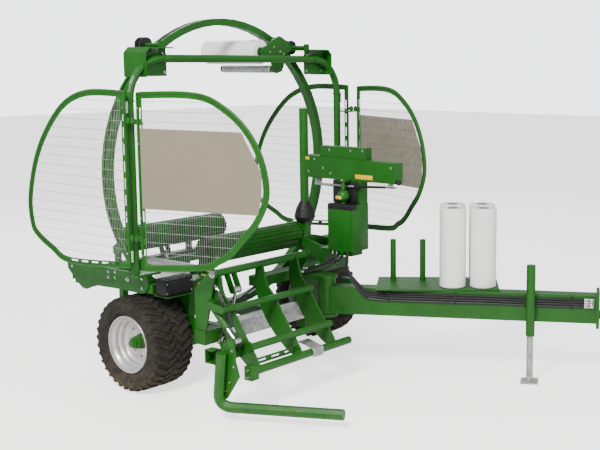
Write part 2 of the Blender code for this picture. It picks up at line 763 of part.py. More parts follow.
def roller_arms(front):
    """The plates that carry the front roller's ends: a stand on the right leg's shelf and a strut on the front bar."""
    reach = ROLLER_LENGTH / 2 + ROLLER_PLATE_GAP + ROLLER_PLATE / 2
    cap = arc((FRONT_ROLLER_X, ROLLER_HEIGHT), ROLLER_ARM, FULL_TURN / 2, 0, 8)
    stand = [
        (ROLLER_STAND_FRONT, BEAM_TOP - BEAM_HEIGHT / 2),
        (ROLLER_STAND_REAR, BEAM_TOP - BEAM_HEIGHT / 2),
        *cap,
    ]
    strut = [
        (front + ROLLER_ARM, BEAM_TOP - BEAM_HEIGHT / 2),
        (front - ROLLER_ARM, BEAM_TOP - BEAM_HEIGHT / 2),
        *cap,
        (front + ROLLER_ARM, BEAM_TOP + ROLLER_ARM * 2),
    ]
    items = [
        plate(outline, ROLLER_PLATE, frame((0, side * reach, 0), X_AXIS, Z_AXIS))
        for side, outline in ((RIGHT, stand), (LEFT, strut))
    ]
    items.append(
        box(
            (ROLLER_STAND_REAR + WELD, -LEG_OUTER + WELD * 3, BEAM_TOP - BEAM_HEIGHT + WELD * 2),
            (ROLLER_STAND_FRONT - WELD, -reach + ROLLER_PLATE / 4, BEAM_TOP - WELD * 3),
        )
    )
    items.append(rod((FRONT_ROLLER_X, -reach, ROLLER_HEIGHT), (FRONT_ROLLER_X, reach, ROLLER_HEIGHT), ROLLER_SHAFT, 12))
    return items


# Rollers
RIBS = 20
RIB_PARTS = ((0.0, 0), (0.35, 0), (0.5, 1), (0.85, 1))
RIB_HEIGHT = 0.008
ROLLER_BORE = ROLLER_SHAFT + 0.004


def ribbed_roller(name, x, parent):
    """A bale roller with ribs along its length and a bore for its shaft."""
    outline = []
    root = ROLLER_RADIUS - RIB_HEIGHT
    for number in range(RIBS):
        for part_share, raised in RIB_PARTS:
            radius = ROLLER_RADIUS if raised else root
            turn = 2 * pi * (number + part_share) / RIBS
            outline.append((radius * cos(turn), radius * sin(turn)))
    place = frame((x, 0, ROLLER_HEIGHT), X_AXIS, Z_AXIS)
    item = plate(outline, ROLLER_LENGTH, place, [circle((0, 0), ROLLER_BORE, 12)])
    return finish(item, name, "green_paint", parent)


# Tipping table
TABLE_ARM_PLATE = 0.025
TABLE_ARM_EYE = 0.05
TABLE_TUBE = 0.035
TABLE_BOSS = 0.04
TABLE_BOSS_GAP = GAP
TABLE_TUBE_X = -1.10
TABLE_TUBE_HEIGHT = 1.05


def tipping_table(parent):
    """Two plates from the rear hinge to the rear roller's ends, tied by a cross tube."""
    reach = ROLLER_LENGTH / 2 + ROLLER_PLATE_GAP + ROLLER_PLATE / 2
    items = []
    for side in (RIGHT, LEFT):
        plane = side * reach
        items.append(
            eye_plate((REAR_ROLLER_X, ROLLER_HEIGHT), (TABLE_TUBE_X, TABLE_TUBE_HEIGHT), plane, ROLLER_PLATE, TABLE_ARM_EYE)
        )
        boss = side * (TABLE_LUG_OFFSET - LUG_PLATE / 2 - TABLE_BOSS_GAP - TABLE_ARM_PLATE / 2)
        items.append(
            eye_plate((TABLE_PIVOT_X, TABLE_PIVOT_HEIGHT), (TABLE_TUBE_X, TABLE_TUBE_HEIGHT), boss, TABLE_ARM_PLATE, TABLE_BOSS)
        )
    items.append(rod((TABLE_TUBE_X, -reach, TABLE_TUBE_HEIGHT), (TABLE_TUBE_X, reach, TABLE_TUBE_HEIGHT), TABLE_TUBE, 12))
    items.append(rod((REAR_ROLLER_X, -reach, ROLLER_HEIGHT), (REAR_ROLLER_X, reach, ROLLER_HEIGHT), ROLLER_SHAFT, 12))
    bore = rod(
        (TABLE_PIVOT_X, -TABLE_LUG_OFFSET, TABLE_PIVOT_HEIGHT),
        (TABLE_PIVOT_X, TABLE_LUG_OFFSET, TABLE_PIVOT_HEIGHT),
        PIVOT_SHAFT + WELD,
        12,
    )
    items += lift_lugs(TABLE_LIFT, (TABLE_TUBE_X, TABLE_TUBE_HEIGHT), 0.0)
    return finish(carved(fused(items), [bore]), "tipping_table", "green_paint", parent)


# Hydraulic cylinders
CYLINDER_RADIUS = 0.03
CYLINDER_ROD = 0.014
CYLINDER_BORE = CYLINDER_ROD + GAP
CYLINDER_EYE = 0.03
CYLINDER_EYE_HALF = 0.034
CYLINDER_PIN = 0.011
CYLINDER_LUG = 0.032
LIFT_GAP = GAP
LIFT_PLATE = 0.012
TABLE_BASE = (-0.90, 0.48)
TABLE_LIFT = (-1.06, 0.95)
CRADLE_BASE = (0.81, 0.45)
CRADLE_LIFT = (0.93, 0.98)
CRADLE_LIFT_Y = -LEG_OUTER
ARM_BASE = (0.888, 0.901)
ARM_LIFT_RISE = (0.059, 0.117)
ARM_LIFT = (ARM_PIVOT_X + ARM_LIFT_RISE[0], ARM_PIVOT_HEIGHT + ARM_LIFT_RISE[1])
ARM_LIFT_Y = -1.18
SWING_BASE = (0.85, 0.875)
SWING_HEIGHT = 0.64
SWING_REACH = 0.70
SWING_SIDE = 0.125
CYLINDERS = (
    # name, barrel's share of the length, rod inside the barrel
    ("table_cylinder", 0.62, 0.19),
    ("cradle_cylinder", 0.62, 0.23),
    ("arm_cylinder", 0.66, 0.09),
    ("drawbar_cylinder", 0.56, 0.27),
)


def cylinder_ends(name):
    """Base, tip and pin direction of a cylinder."""
    if name == "drawbar_cylinder":
        tip = drawbar_point(SWING_REACH, -SWING_SIDE, SWING_HEIGHT)
        return Vector((*SWING_BASE, SWING_HEIGHT)), tip, Z_AXIS
    base, tip, plane = {
        "table_cylinder": (TABLE_BASE, TABLE_LIFT, 0.0),
        "cradle_cylinder": (CRADLE_BASE, CRADLE_LIFT, CRADLE_LIFT_Y),
        "arm_cylinder": (ARM_BASE, ARM_LIFT, ARM_LIFT_Y),
    }[name]
    return Vector((base[0], plane, base[1])), Vector((tip[0], plane, tip[1])), Y_AXIS


def cylinder(name, barrel_share, inside, barrel_parent, rod_parent):
    """A barrel with an eye at its base, and a rod with an eye at its tip."""
    base, tip, across = cylinder_ends(name)
    along = (tip - base).normalized()
    length = (tip - base).length
    mouth = base + along * length * barrel_share
    start = base + along * CYLINDER_EYE * 0.6
    barrel = rod(start, mouth, CYLINDER_RADIUS, 14)
    eye = rod(base - across * CYLINDER_EYE_HALF, base + across * CYLINDER_EYE_HALF, CYLINDER_EYE, 14)
    pin_hole = rod(base - across * CYLINDER_EYE * 1.5, base + across * CYLINDER_EYE * 1.5, CYLINDER_PIN + WELD / 4, 10)
    bore = rod(base + along * CYLINDER_EYE * 1.2, mouth + along * OVERRUN, CYLINDER_BORE, 12)
    finish(carved(fused([barrel, eye]), [pin_hole, bore]), f"{name}_barrel", "green_paint", barrel_parent)
    shaft = rod(mouth - along * inside, tip - along * CYLINDER_EYE * 0.6, CYLINDER_ROD, 12)
    tip_eye = rod(tip - across * CYLINDER_EYE_HALF, tip + across * CYLINDER_EYE_HALF, CYLINDER_EYE, 14)
    tip_hole = rod(tip - across * CYLINDER_EYE * 1.5, tip + across * CYLINDER_EYE * 1.5, CYLINDER_PIN + WELD / 4, 10)
    finish(carved(fused([shaft, tip_eye]), [tip_hole]), f"{name}_rod", "polished_steel", rod_parent)


# Ring and film dispensers
RING_GROOVE = 0.03
RING_GROOVE_DEPTH = 0.02
ROLL_RADIUS = 0.122
ROLL_CORE = 0.042
ROLL_LENGTH = 0.735
ROLL_FRONT_X = 0.035
ROLL_INSET = 0.263
ROLL_RING_RADIUS = RING_RADIUS - ROLL_INSET
ROLL_ANGLE = radians(17.4)
DISPENSER_PLATE = 0.02
DISPENSER_GAP = GAP
DISPENSER_TAIL = 0.01
STRETCH_RADIUS = 0.035
STRETCH_ANGLE = radians(12.2)
STRETCH_INSET = 0.346
STRETCH_RING_RADIUS = RING_RADIUS - STRETCH_INSET
SPINDLE_TUBE = 0.03
DISPENSER_OUTLINE = (
    # distance inside the ring's outer edge, degrees ahead of the roll
    (0.269, -1.0), (0.224, -0.4), (0.183, 2.4), (0.098, 4.8), (0.021, 8.0), (0.008, 14.5), (0.080, 15.6),
    (0.174, 14.9), (0.254, 16.8), (0.315, 17.0), (0.372, 14.3), (0.380, 12.0), (0.372, 10.0), (0.334, 9.4),
    (0.264, 6.9), (0.284, 3.8), (0.305, 0.6),
)
DISPENSER_FOOT = ((0.008, 9.9), (0.008, 17.3), (0.069, 17.3), (0.069, 9.9))


def wrapping_ring(parent):
    half = RING_WIDTH / 2
    inner = RING_RADIUS - RING_DEPTH
    floor = RING_RADIUS - RING_GROOVE_DEPTH
    profile = [
        (RING_RADIUS, -half),
        (RING_RADIUS, -RING_GROOVE / 2),
        (floor, -RING_GROOVE / 2),
        (floor, RING_GROOVE / 2),
        (RING_RADIUS, RING_GROOVE / 2),
        (RING_RADIUS, half),
        (inner, half),
        (inner, -half),
    ]
    item = turned(profile, RING_STEPS, (RING_X, 0, RING_HEIGHT), X_AXIS)
    return finish(item, "wrapping_ring", "green_paint", parent)


def ring_point(x, radius, angle):
    return Vector((x, radius * sin(angle), RING_HEIGHT + radius * cos(angle)))


def dispenser(number, parent):
    """One film dispenser: a foot on the ring, a front plate, the roll's spindle and a stretch roller."""
    turn = ROLL_ANGLE + pi * number
    lean = turn + STRETCH_ANGLE
    back = ROLL_FRONT_X + DISPENSER_GAP
    front = back + DISPENSER_PLATE
    roll_back = ROLL_FRONT_X - ROLL_LENGTH
    ring_front = RING_X + RING_WIDTH / 2 + GAP
    upright = Matrix(((0, 0, 1, 0), (1, 0, 0, 0), (0, 1, 0, RING_HEIGHT), (0, 0, 0, 1)))
    items = []
    for outline, low, high in ((DISPENSER_OUTLINE, back, front), (DISPENSER_FOOT, ring_front, back + WELD)):
        polar = [(RING_RADIUS - depth, turn + radians(ahead)) for depth, ahead in outline]
        flat = [(radius * sin(angle), radius * cos(angle)) for radius, angle in polar]
        items.append(plate(flat, high - low, Matrix.Translation(((low + high) / 2, 0, 0)) @ upright))
    items.append(
        rod(
            ring_point(back + WELD, ROLL_RING_RADIUS, turn),
            ring_point(roll_back - DISPENSER_TAIL, ROLL_RING_RADIUS, turn),
            SPINDLE_TUBE,
            12,
        )
    )
    items.append(
        rod(
            ring_point(back + WELD, STRETCH_RING_RADIUS, lean),
            ring_point(roll_back, STRETCH_RING_RADIUS, lean),
            STRETCH_RADIUS,
            12,
        )
    )
    finish(fused(items), f"film_dispenser_{number + 1}", "green_paint", parent)
    middle = ring_point(ROLL_FRONT_X - ROLL_LENGTH / 2, ROLL_RING_RADIUS, turn)
    film_roll(f"dispenser_film_roll_{number + 1}", middle, X_AXIS, ROLL_LENGTH, ROLL_RADIUS, parent)


ROLL_EDGE = 0.012
ROLL_STEPS = 20


def film_roll(name, centre, axis, length, radius, parent):
    half = length / 2
    profile = [
        (radius, -half + ROLL_EDGE),
        (radius, half - ROLL_EDGE),
        (radius - ROLL_EDGE, half),
        (ROLL_CORE, half),
        (ROLL_CORE, -half),
        (radius - ROLL_EDGE, -half),
    ]
    return finish(turned(profile, ROLL_STEPS, centre, axis), name, "white_film", parent)


# Portal
FRONT_HINGE_X = 0.318
REAR_HINGE_X = 0.262
HINGE_PIN = 0.010
HINGE_PIN_LENGTH = 0.05
HINGE_EYE = 0.020
HINGE_EYE_HEIGHT = 0.04
HINGE_LEVELS = (1.42, 2.42)
BASE_PLATE = 0.02
BASE_HALF = 0.07
BRACKET_BAR = 0.012
CORNER_NEAR = PORTAL_HALF - 0.46
CORNER_FAR = PORTAL_HALF - 0.14
CORNER_LOW = PORTAL_HEIGHT - 0.16
CORNER_HIGH = PORTAL_HEIGHT + 0.10
CORNER_REAR = -0.085
CORNER_BACK = 0.095
CORNER_FRONT = 0.205
CORNER_SHEET = 0.012
CORNER_CHAMFER = 0.05

# Ring guide wheels
GUIDE_RADIUS = 0.072
GUIDE_WIDTH = 0.03
GUIDE_PITCH = 0.05
GUIDE_HUB = 0.03
GUIDE_AXLE = 0.012
GUIDE_GAP = GAP
GUIDE_STEPS = 24
GUIDE_COLLAR = 0.02
RING_FACET = 2 * pi / RING_STEPS
GUIDE_TAIL = 0.006
GUIDES = (
    # name, angle from the top of the ring, x where the axle is held
    ("upper", 7 * RING_FACET, CORNER_BACK + CORNER_SHEET / 2),
    ("lower", 26 * RING_FACET, 0.0),
)
GUIDE_LUG = 0.035


def guide_place(name, side):
    """The middle of a pair of guide wheels and the x where its axle is held."""
    for row, angle, hold in GUIDES:
        if row == name:
            return ring_point(RING_X, RING_RADIUS + GUIDE_RADIUS + GUIDE_GAP, side * angle), hold


def guide_axle(name, side):
    middle, hold = guide_place(name, side)
    face = GUIDE_PITCH / 2 + GUIDE_WIDTH / 2
    tail = face + GUIDE_TAIL
    thin = rod((middle.x - tail, middle.y, middle.z), (hold, middle.y, middle.z), GUIDE_AXLE, 10)
    collar = rod((middle.x + face + GAP, middle.y, middle.z), (hold, middle.y, middle.z), GUIDE_COLLAR, 12)
    return fused([collar, thin])


def guide_wheels(name, side, parent):
    """Twin wheels that roll on both edges of the ring's band, on one hub."""
    middle, hold = guide_place(name, side)
    near, far = GUIDE_PITCH / 2 - GUIDE_WIDTH / 2, GUIDE_PITCH / 2 + GUIDE_WIDTH / 2
    bore = GUIDE_AXLE + WELD / 4
    profile = [
        (bore, -far),
        (GUIDE_RADIUS, -far),
        (GUIDE_RADIUS, -near),
        (GUIDE_HUB, -near),
        (GUIDE_HUB, near),
        (GUIDE_RADIUS, near),
        (GUIDE_RADIUS, far),
        (bore, far),
    ]
    label = f"guide_wheels_{name}_{SIDE_NAMES[side]}"
    above = ring_point(RING_X, RING_RADIUS + GUIDE_RADIUS + GUIDE_GAP, 0)
    item = turned(profile, GUIDE_STEPS, above, X_AXIS)
    axis = Matrix.Translation((RING_X, 0, RING_HEIGHT))
    angle = {row: angle for row, angle, hold in GUIDES}[name]
    item.data.transform(axis @ Matrix.Rotation(-side * angle, 4, "X") @ axis.inverted())
    return finish(item, label, "black_plastic", parent)


def corner_bracket(side):
    """A folded sheet over the arch's shoulder: a hood, a web across it and a tab for the guide wheels' axle."""
    middle, hold = guide_place("upper", side)
    sheet = CORNER_SHEET
    outline = [
        (CORNER_NEAR, CORNER_HIGH),
        (CORNER_FAR - CORNER_CHAMFER, CORNER_HIGH),
        (CORNER_FAR, CORNER_HIGH - CORNER_CHAMFER),
        (CORNER_FAR, CORNER_LOW),
        (CORNER_FAR - sheet, CORNER_LOW),
        (CORNER_FAR - sheet, CORNER_HIGH - CORNER_CHAMFER - sheet / 2),
        (CORNER_FAR - CORNER_CHAMFER - sheet / 2, CORNER_HIGH - sheet),
        (CORNER_NEAR, CORNER_HIGH - sheet),
    ]
    across = Matrix(((0, 0, 1, 0), (side, 0, 0, 0), (0, side, 0, 0), (0, 0, 0, 1)))
    across[2][1] = 1
    hood = plate(outline, CORNER_FRONT - CORNER_REAR, Matrix.Translation(((CORNER_FRONT + CORNER_REAR) / 2, 0, 0)) @ across)
    web = box(
        *ordered(
            (CORNER_BACK, side * (CORNER_NEAR + sheet / 2), CORNER_LOW + sheet / 2),
            (CORNER_BACK + sheet, side * (CORNER_FAR - sheet / 2), CORNER_HIGH - CORNER_CHAMFER),
        )
    )
    tab = box(
        *ordered(
            (CORNER_BACK, middle.y - GUIDE_LUG, CORNER_HIGH - CORNER_CHAMFER - sheet),
            (CORNER_BACK + sheet, middle.y + GUIDE_LUG, middle.z + GUIDE_LUG),
        )
    )
    return fused([hood, web, tab])


def portal(parent):
    """The arch tube in front of the ring, with base plates and the guards' hinge pins."""
    bend = PORTAL_BEND
    foot = SIDE_TOP + GAP
    low, high = foot + BASE_PLATE / 2, PORTAL_HEIGHT
    path = [(-PORTAL_HALF, low)]
    path += arc((-PORTAL_HALF + bend, high - bend), bend, 180, 90, 8)
    path += arc((PORTAL_HALF - bend, high - bend), bend, 90, 0, 8)
    path += [(PORTAL_HALF, low)]
    items = [tube([(PORTAL_X, y, z) for y, z in path], PORTAL_TUBE, detail=3)]
    for side in (RIGHT, LEFT):
        items.append(
            box(
                *ordered(
                    (PORTAL_X - BASE_HALF, side * (BEAM_OFFSET - BEAM_WIDTH / 2), foot),
                    (PORTAL_X + BASE_HALF, side * (PORTAL_HALF + BASE_HALF / 2), foot + BASE_PLATE),
                )
            )
        )
        for level in HINGE_LEVELS:
            low = (PORTAL_X - HINGE_PIN, side * PORTAL_HALF, level - BRACKET_BAR)
            high = (FRONT_HINGE_X + HINGE_PIN, side * (GUARD_OFFSET - GUARD_GAP * 0.8), level)
            items.append(box(*ordered(low, high)))
            for x in (FRONT_HINGE_X, REAR_HINGE_X):
                offset = side * GUARD_OFFSET
                near = (x - HINGE_PIN, side * PORTAL_HALF, level - BRACKET_BAR + WELD / 4)
                far = (x + HINGE_PIN, offset + side * HINGE_PIN, level - WELD / 4)
                items.append(box(*ordered(near, far)))
                items.append(rod((x, offset, level - WELD), (x, offset, level + HINGE_PIN_LENGTH), HINGE_PIN, 10))
        items.append(corner_bracket(side))
        items.append(guide_axle("upper", side))
    return finish(fused(items), "portal_arch", "green_paint", parent)


# Guards
GUARD_LOW = 1.13
GUARD_HIGH = 2.67
GUARD_FLANGE = 0.045
GUARD_SHEET = 0.006
WIRE = 0.005
WIRE_PITCH = 0.17
REAR_GUARD_OUTLINE = (
    # along from the hinge, height
    (0.0, 2.68), (0.50, 2.68), (0.84, 2.57), (1.12, 2.32), (1.31, 2.03), (1.42, 1.68),
    (1.40, 1.43), (1.32, 1.33), (1.10, 1.22), (0.83, 1.13), (0.0, 1.18),
)
FRONT_GUARD_OUTLINE = (
    (0.0, 2.67), (0.42, 2.68), (0.67, 2.65), (0.85, 2.56), (1.00, 2.44), (1.12, 2.28), (1.20, 2.08),
    (1.22, 1.85), (1.13, 1.64), (1.00, 1.49), (0.87, 1.35), (0.75, 1.28), (0.60, 1.22), (0.0, 1.17),
)
NAME_PLATE = ((0.02, 2.38), (0.99, 2.37), (1.17, 2.04), (1.16, 1.84), (1.13, 1.70), (0.02, 1.70))
NAME_PLATE_SHEET = 0.003


def span(outline, height):
    """The horizontal reach of an outline at one height."""
    cuts = []
    count = len(outline)
    for n in range(count):
        (x0, z0), (x1, z1) = outline[n], outline[(n + 1) % count]
        if (z0 - height) * (z1 - height) < 0:
            cuts.append(x0 + (x1 - x0) * (height - z0) / (z1 - z0))
    return min(cuts), max(cuts)


def guard(name, outline, hinge, heading, parent):
    """A D-shaped tube frame with its main mesh wires, hung on two eyes."""
    x, y = hinge
    along = Vector((cos(heading), sin(heading), 0))
    place = frame((x, y, 0), along, Z_AXIS)
    shifted = [(s + GUARD_GAP, z) for s, z in eased(outline, 2)]
    loop = [place @ Vector((s, z, 0)) for s, z in shifted]
    items = [
        tube([tuple(point) for point in loop], GUARD_TUBE, closed=True, detail=1),
        plate(shifted, GUARD_SHEET, place, [inset(shifted, GUARD_FLANGE)]),
    ]
    level = GUARD_LOW + WIRE_PITCH
    wires = []
    while level < GUARD_HIGH - WIRE_PITCH / 2:
        start, end = span(shifted, level)
        wires.append(box((start, level - WIRE / 2, -WIRE / 2), (end, level + WIRE / 2, WIRE / 2), place))
        level += WIRE_PITCH
    items.append(joined(wires))
    for level in HINGE_LEVELS:
        low, high = level + GAP, level + GAP + HINGE_EYE_HEIGHT
        items.append(rod((x, y, low), (x, y, high), HINGE_EYE, 12))
        items.append(box((0, low + WELD, -HINGE_PIN), (GUARD_GAP, high - WELD, HINGE_PIN), place))
    bores = joined([rod((x, y, level - OVERRUN), (x, y, level + HINGE_PIN_LENGTH * 2), HINGE_PIN + WELD / 4, 10) for level in HINGE_LEVELS])
    return finish(carved(fused(items), [bores]), name, "green_paint", parent)


def name_plate(name, hinge, heading, outer, parent):
    x, y = hinge
    along = Vector((cos(heading), sin(heading), 0))
    place = frame((x, y, 0), along, Z_AXIS)
    lift = outer * (GUARD_SHEET / 2 + GAP + NAME_PLATE_SHEET / 2)
    outline = [(s + GUARD_GAP, z) for s, z in NAME_PLATE]
    return finish(plate(outline, NAME_PLATE_SHEET, place @ Matrix.Translation((0, 0, lift))), name, "grey_plate", parent)


# Loading cradle
CRADLE_BARS = (
    # x, height, radius, share of the cradle's width that it spans
    (0.86, 1.14, 0.035, 1.0),
    (1.07, 0.87, 0.029, 0.87),
    (1.27, 0.56, 0.032, 0.89),
    (1.33, 0.37, 0.035, 1.06),
)
CRADLE_ARM_PLATE = 0.02
CRADLE_ARM_SHARES = (0.02, 0.47, 0.86)
CRADLE_ARM_FRONT = (
    # x, height of the edge that the bars lie on
    (0.90, 1.15), (0.925, 1.06), (0.955, 0.96), (1.055, 0.86), (1.135, 0.73), (1.25, 0.575), (1.345, 0.44), (1.36, 0.38),
)
CRADLE_ARM_BACK = (
    (1.30, 0.355), (1.20, 0.40), (1.04, 0.53), (0.93, 0.665), (0.845, 0.82), (0.805, 0.95), (0.82, 1.12),
)
ARM_SHAFT = 0.02


def cradle(parent):
    """Three curved plates and four cross bars, turning about the top bar."""
    right, left = CRADLE_RIGHT, CRADLE_LEFT
    items = []
    for x, height, radius, span_share in CRADLE_BARS:
        items.append(rod((x, right, height), (x, right + (left - right) * span_share, height), radius, 14))
    outline = eased(CRADLE_ARM_FRONT, 2) + eased(CRADLE_ARM_BACK, 2)
    for place_share in CRADLE_ARM_SHARES:
        plane = right + (left - right) * place_share
        items.append(plate(outline, CRADLE_ARM_PLATE, frame((0, plane, 0), X_AXIS, Z_AXIS)))
    lug_plane = right + (left - right) * CRADLE_ARM_SHARES[0]
    items.append(eye_plate((ARM_PIVOT_X, ARM_PIVOT_HEIGHT), CRADLE_BARS[2][:2], lug_plane, LUG_PLATE, LUG_EYE))
    items.append(rod((ARM_PIVOT_X, lug_plane, ARM_PIVOT_HEIGHT), (ARM_PIVOT_X, ARM_PLANE - ARM_BOSS_HALF, ARM_PIVOT_HEIGHT), ARM_SHAFT, 12))
    items += lift_lugs(CRADLE_LIFT, CRADLE_BARS[0][:2], CRADLE_LIFT_Y)
    stub_x, stub_height, stub_radius = CRADLE_BARS[1][:3]
    stub_end = ARM_LIFT_Y - CYLINDER_EYE_HALF - LIFT_GAP - LIFT_PLATE
    items.append(rod((stub_x, right + WELD, stub_height), (stub_x, stub_end, stub_height), stub_radius - WELD, 12))
    items += lift_lugs(ARM_BASE, CRADLE_BARS[1][:2], ARM_LIFT_Y)
    items.append(lug_pin(ARM_BASE, ARM_LIFT_Y))
    bore = rod(
        (CRADLE_PIVOT_X, right - OVERRUN, CRADLE_PIVOT_HEIGHT),
        (CRADLE_PIVOT_X, left + OVERRUN, CRADLE_PIVOT_HEIGHT),
        PIVOT_SHAFT + WELD,
        12,
    )
    return finish(carved(fused(items), [bore]), "loading_cradle", "green_paint", parent)


# Loading arm
ARM_BOSS = 0.045
ARM_BOSS_HALF = 0.05
ARM_BOSS_INNER = CRADLE_RIGHT + (CRADLE_LEFT - CRADLE_RIGHT) * CRADLE_ARM_SHARES[0] - CRADLE_ARM_PLATE / 2 - GAP
ARM_TOP = (1.258, -1.41, 0.58)
ARM_NECK = (1.218, -1.41, 0.25)
ARM_FOOT = (1.195, -1.415, 0.12)
ARM_BEND = 0.14
ARM_PIPE = 0.046
ARM_REACH = 1.08
ARM_HEADING = radians(25)
ARM_SHEET = 0.02
ARM_SHEET_Y = -1.355
ARM_GUSSET = (
    # x, height of the plate between the pivot and the upright
    (1.085, 0.46), (1.095, 0.55), (1.20, 0.60), (1.285, 0.69), (1.345, 0.66), (1.36, 0.51), (1.40, 0.39),
    (1.25, 0.18), (1.20, 0.18), (1.18, 0.32), (1.13, 0.44),
)


def loading_arm(parent):
    """An L-shaped pipe arm with a bent foot, hung on its pivot by a plate."""
    heading = Vector((cos(ARM_HEADING), sin(ARM_HEADING), 0))
    foot = Vector(ARM_FOOT)
    path = [Vector(ARM_TOP), *bend(ARM_NECK, foot, foot + heading * ARM_BEND, 6), foot + heading * ARM_REACH]
    items = [
        rod(
            (ARM_PIVOT_X, ARM_SHEET_Y, ARM_PIVOT_HEIGHT),
            (ARM_PIVOT_X, ARM_BOSS_INNER, ARM_PIVOT_HEIGHT),
            ARM_BOSS,
            14,
        ),
        tube([tuple(point) for point in path], ARM_PIPE, detail=2),
        plate(ARM_GUSSET, ARM_SHEET, frame((0, ARM_SHEET_Y, 0), X_AXIS, Z_AXIS)),
    ]
    items += lift_lugs(ARM_LIFT, (ARM_PIVOT_X, ARM_PIVOT_HEIGHT), ARM_LIFT_Y)
    bore = rod(
        (ARM_PIVOT_X, ARM_SHEET_Y - ARM_SHEET - OVERRUN, ARM_PIVOT_HEIGHT),
        (ARM_PIVOT_X, ARM_BOSS_INNER + OVERRUN, ARM_PIVOT_HEIGHT),
        ARM_SHAFT + WELD / 2,
        12,
    )
    return finish(carved(fused(items), [bore]), "loading_arm", "green_paint", parent)


# Valve housing, cutter beam and side roller
HOUSING_REAR = 0.84
HOUSING_FRONT = 1.14
HOUSING_RIGHT = 0.40
HOUSING_LEFT = 0.65
HOUSING_BOTTOM = 1.13
HOUSING_TOP = 1.58
SHELF_INSET = 0.04
SHELF_DEPTH = 0.05
COLUMN_SIDE = 0.12
COLUMN_TOP = 1.81
BEAM_Y = 0.60
CUTTER_REAR = 0.42
CUTTER_FRONT = 1.55
CUTTER_LOW = 1.80
CUTTER_HIGH = 2.02
CUTTER_TAPER = 0.05
CUTTER_HALF = 0.06
HOOD_REAR = 0.61
HOOD_FRONT = 1.19
HOOD_TOP = 2.12
HOOD_HALF = 0.045
ACCUMULATOR_X = 0.99
ACCUMULATOR_Y = 0.46
ACCUMULATOR_HEIGHT = HOUSING_TOP + 0.08
ACCUMULATOR_RADIUS = 0.06
NECK_RADIUS = 0.02
DRIVE_FLANGE = 0.13
DRIVE_SHEET = 0.02
DRIVE_DRUM = 0.085
DRIVE_LENGTH = 0.13
SIDE_ROLLER_X = 0.25
SIDE_ROLLER_Y = 0.72
SIDE_ROLLER_RADIUS = 0.045
SIDE_ROLLER_LOW = 1.53
SIDE_ROLLER_HIGH = 2.47
SIDE_PIN = 0.016
SIDE_POST = 0.045
CONE_LOW = 1.32
CONE_RADIUS = 0.11
CONTROL_REAR = 0.262
CONTROL_FRONT = 0.392
CONTROL_INNER = LEG_OUTER + GAP
CONTROL_OUTER = 1.24
CONTROL_LOW = 0.90
CONTROL_HIGH = 1.05


def valve_housing(parent):
    """The tall box on its shelf, with the column that carries the cutter beam."""
    column_low = (HOUSING_FRONT - COLUMN_SIDE, BEAM_Y - COLUMN_SIDE / 2, HOUSING_TOP - WELD)
    column_high = (HOUSING_FRONT - WELD, BEAM_Y + COLUMN_SIDE / 2 - WELD * 3, COLUMN_TOP)
    beam_outline = [
        (CUTTER_REAR, CUTTER_LOW),
        (CUTTER_REAR, CUTTER_HIGH),
        (CUTTER_FRONT, CUTTER_HIGH - CUTTER_TAPER / 2),
        (CUTTER_FRONT, CUTTER_LOW),
    ]
    items = [
        box((HOUSING_REAR, HOUSING_RIGHT, HOUSING_BOTTOM), (HOUSING_FRONT, HOUSING_LEFT, HOUSING_TOP)),
        box(column_low, column_high),
        plate(beam_outline, CUTTER_HALF * 2, frame((0, BEAM_Y, 0), X_AXIS, Z_AXIS)),
        box((HOOD_REAR, BEAM_Y - HOOD_HALF, CUTTER_HIGH - CUTTER_TAPER), (HOOD_FRONT, BEAM_Y + HOOD_HALF, HOOD_TOP)),
    ]
    return finish(fused(items), "valve_housing", "green_paint", parent)


def accumulator(parent):
    """A pressure sphere on a neck that stands on the valve housing."""
    bpy.ops.mesh.primitive_uv_sphere_add(
        segments=16, ring_count=10, radius=ACCUMULATOR_RADIUS, location=(ACCUMULATOR_X, ACCUMULATOR_Y, ACCUMULATOR_HEIGHT)
    )
    ball = baked(bpy.context.object)
    neck = rod((ACCUMULATOR_X, ACCUMULATOR_Y, HOUSING_TOP + GAP), (ACCUMULATOR_X, ACCUMULATOR_Y, ACCUMULATOR_HEIGHT), NECK_RADIUS, 12)
    return finish(fused([neck, ball]), "accumulator", "black_plastic", parent)


def roller_drive(parent):
    """Motor drum and flange on the front roller's left end, with the side roller's pin."""
    face = ROLLER_LENGTH / 2 + ROLLER_PLATE_GAP + ROLLER_PLATE + GAP
    drum_end = face + DRIVE_SHEET + DRIVE_LENGTH
    x, y = SIDE_ROLLER_X, SIDE_ROLLER_Y
    items = [
        rod((FRONT_ROLLER_X, face, ROLLER_HEIGHT), (FRONT_ROLLER_X, face + DRIVE_SHEET, ROLLER_HEIGHT), DRIVE_FLANGE, 20),
        rod((FRONT_ROLLER_X, face + WELD, ROLLER_HEIGHT), (FRONT_ROLLER_X, drum_end, ROLLER_HEIGHT), DRIVE_DRUM, 16),
        box(
            (x - SIDE_POST, y - SIDE_POST, ROLLER_HEIGHT),
            (x + SIDE_POST, y + SIDE_POST, CONE_LOW - GAP),
        ),
        rod((x, y, CONE_LOW - GAP - WELD), (x, y, SIDE_ROLLER_HIGH - SIDE_POST * 1.5), SIDE_PIN, 10),
    ]
    return finish(fused(items), "roller_drive", "green_paint", parent)


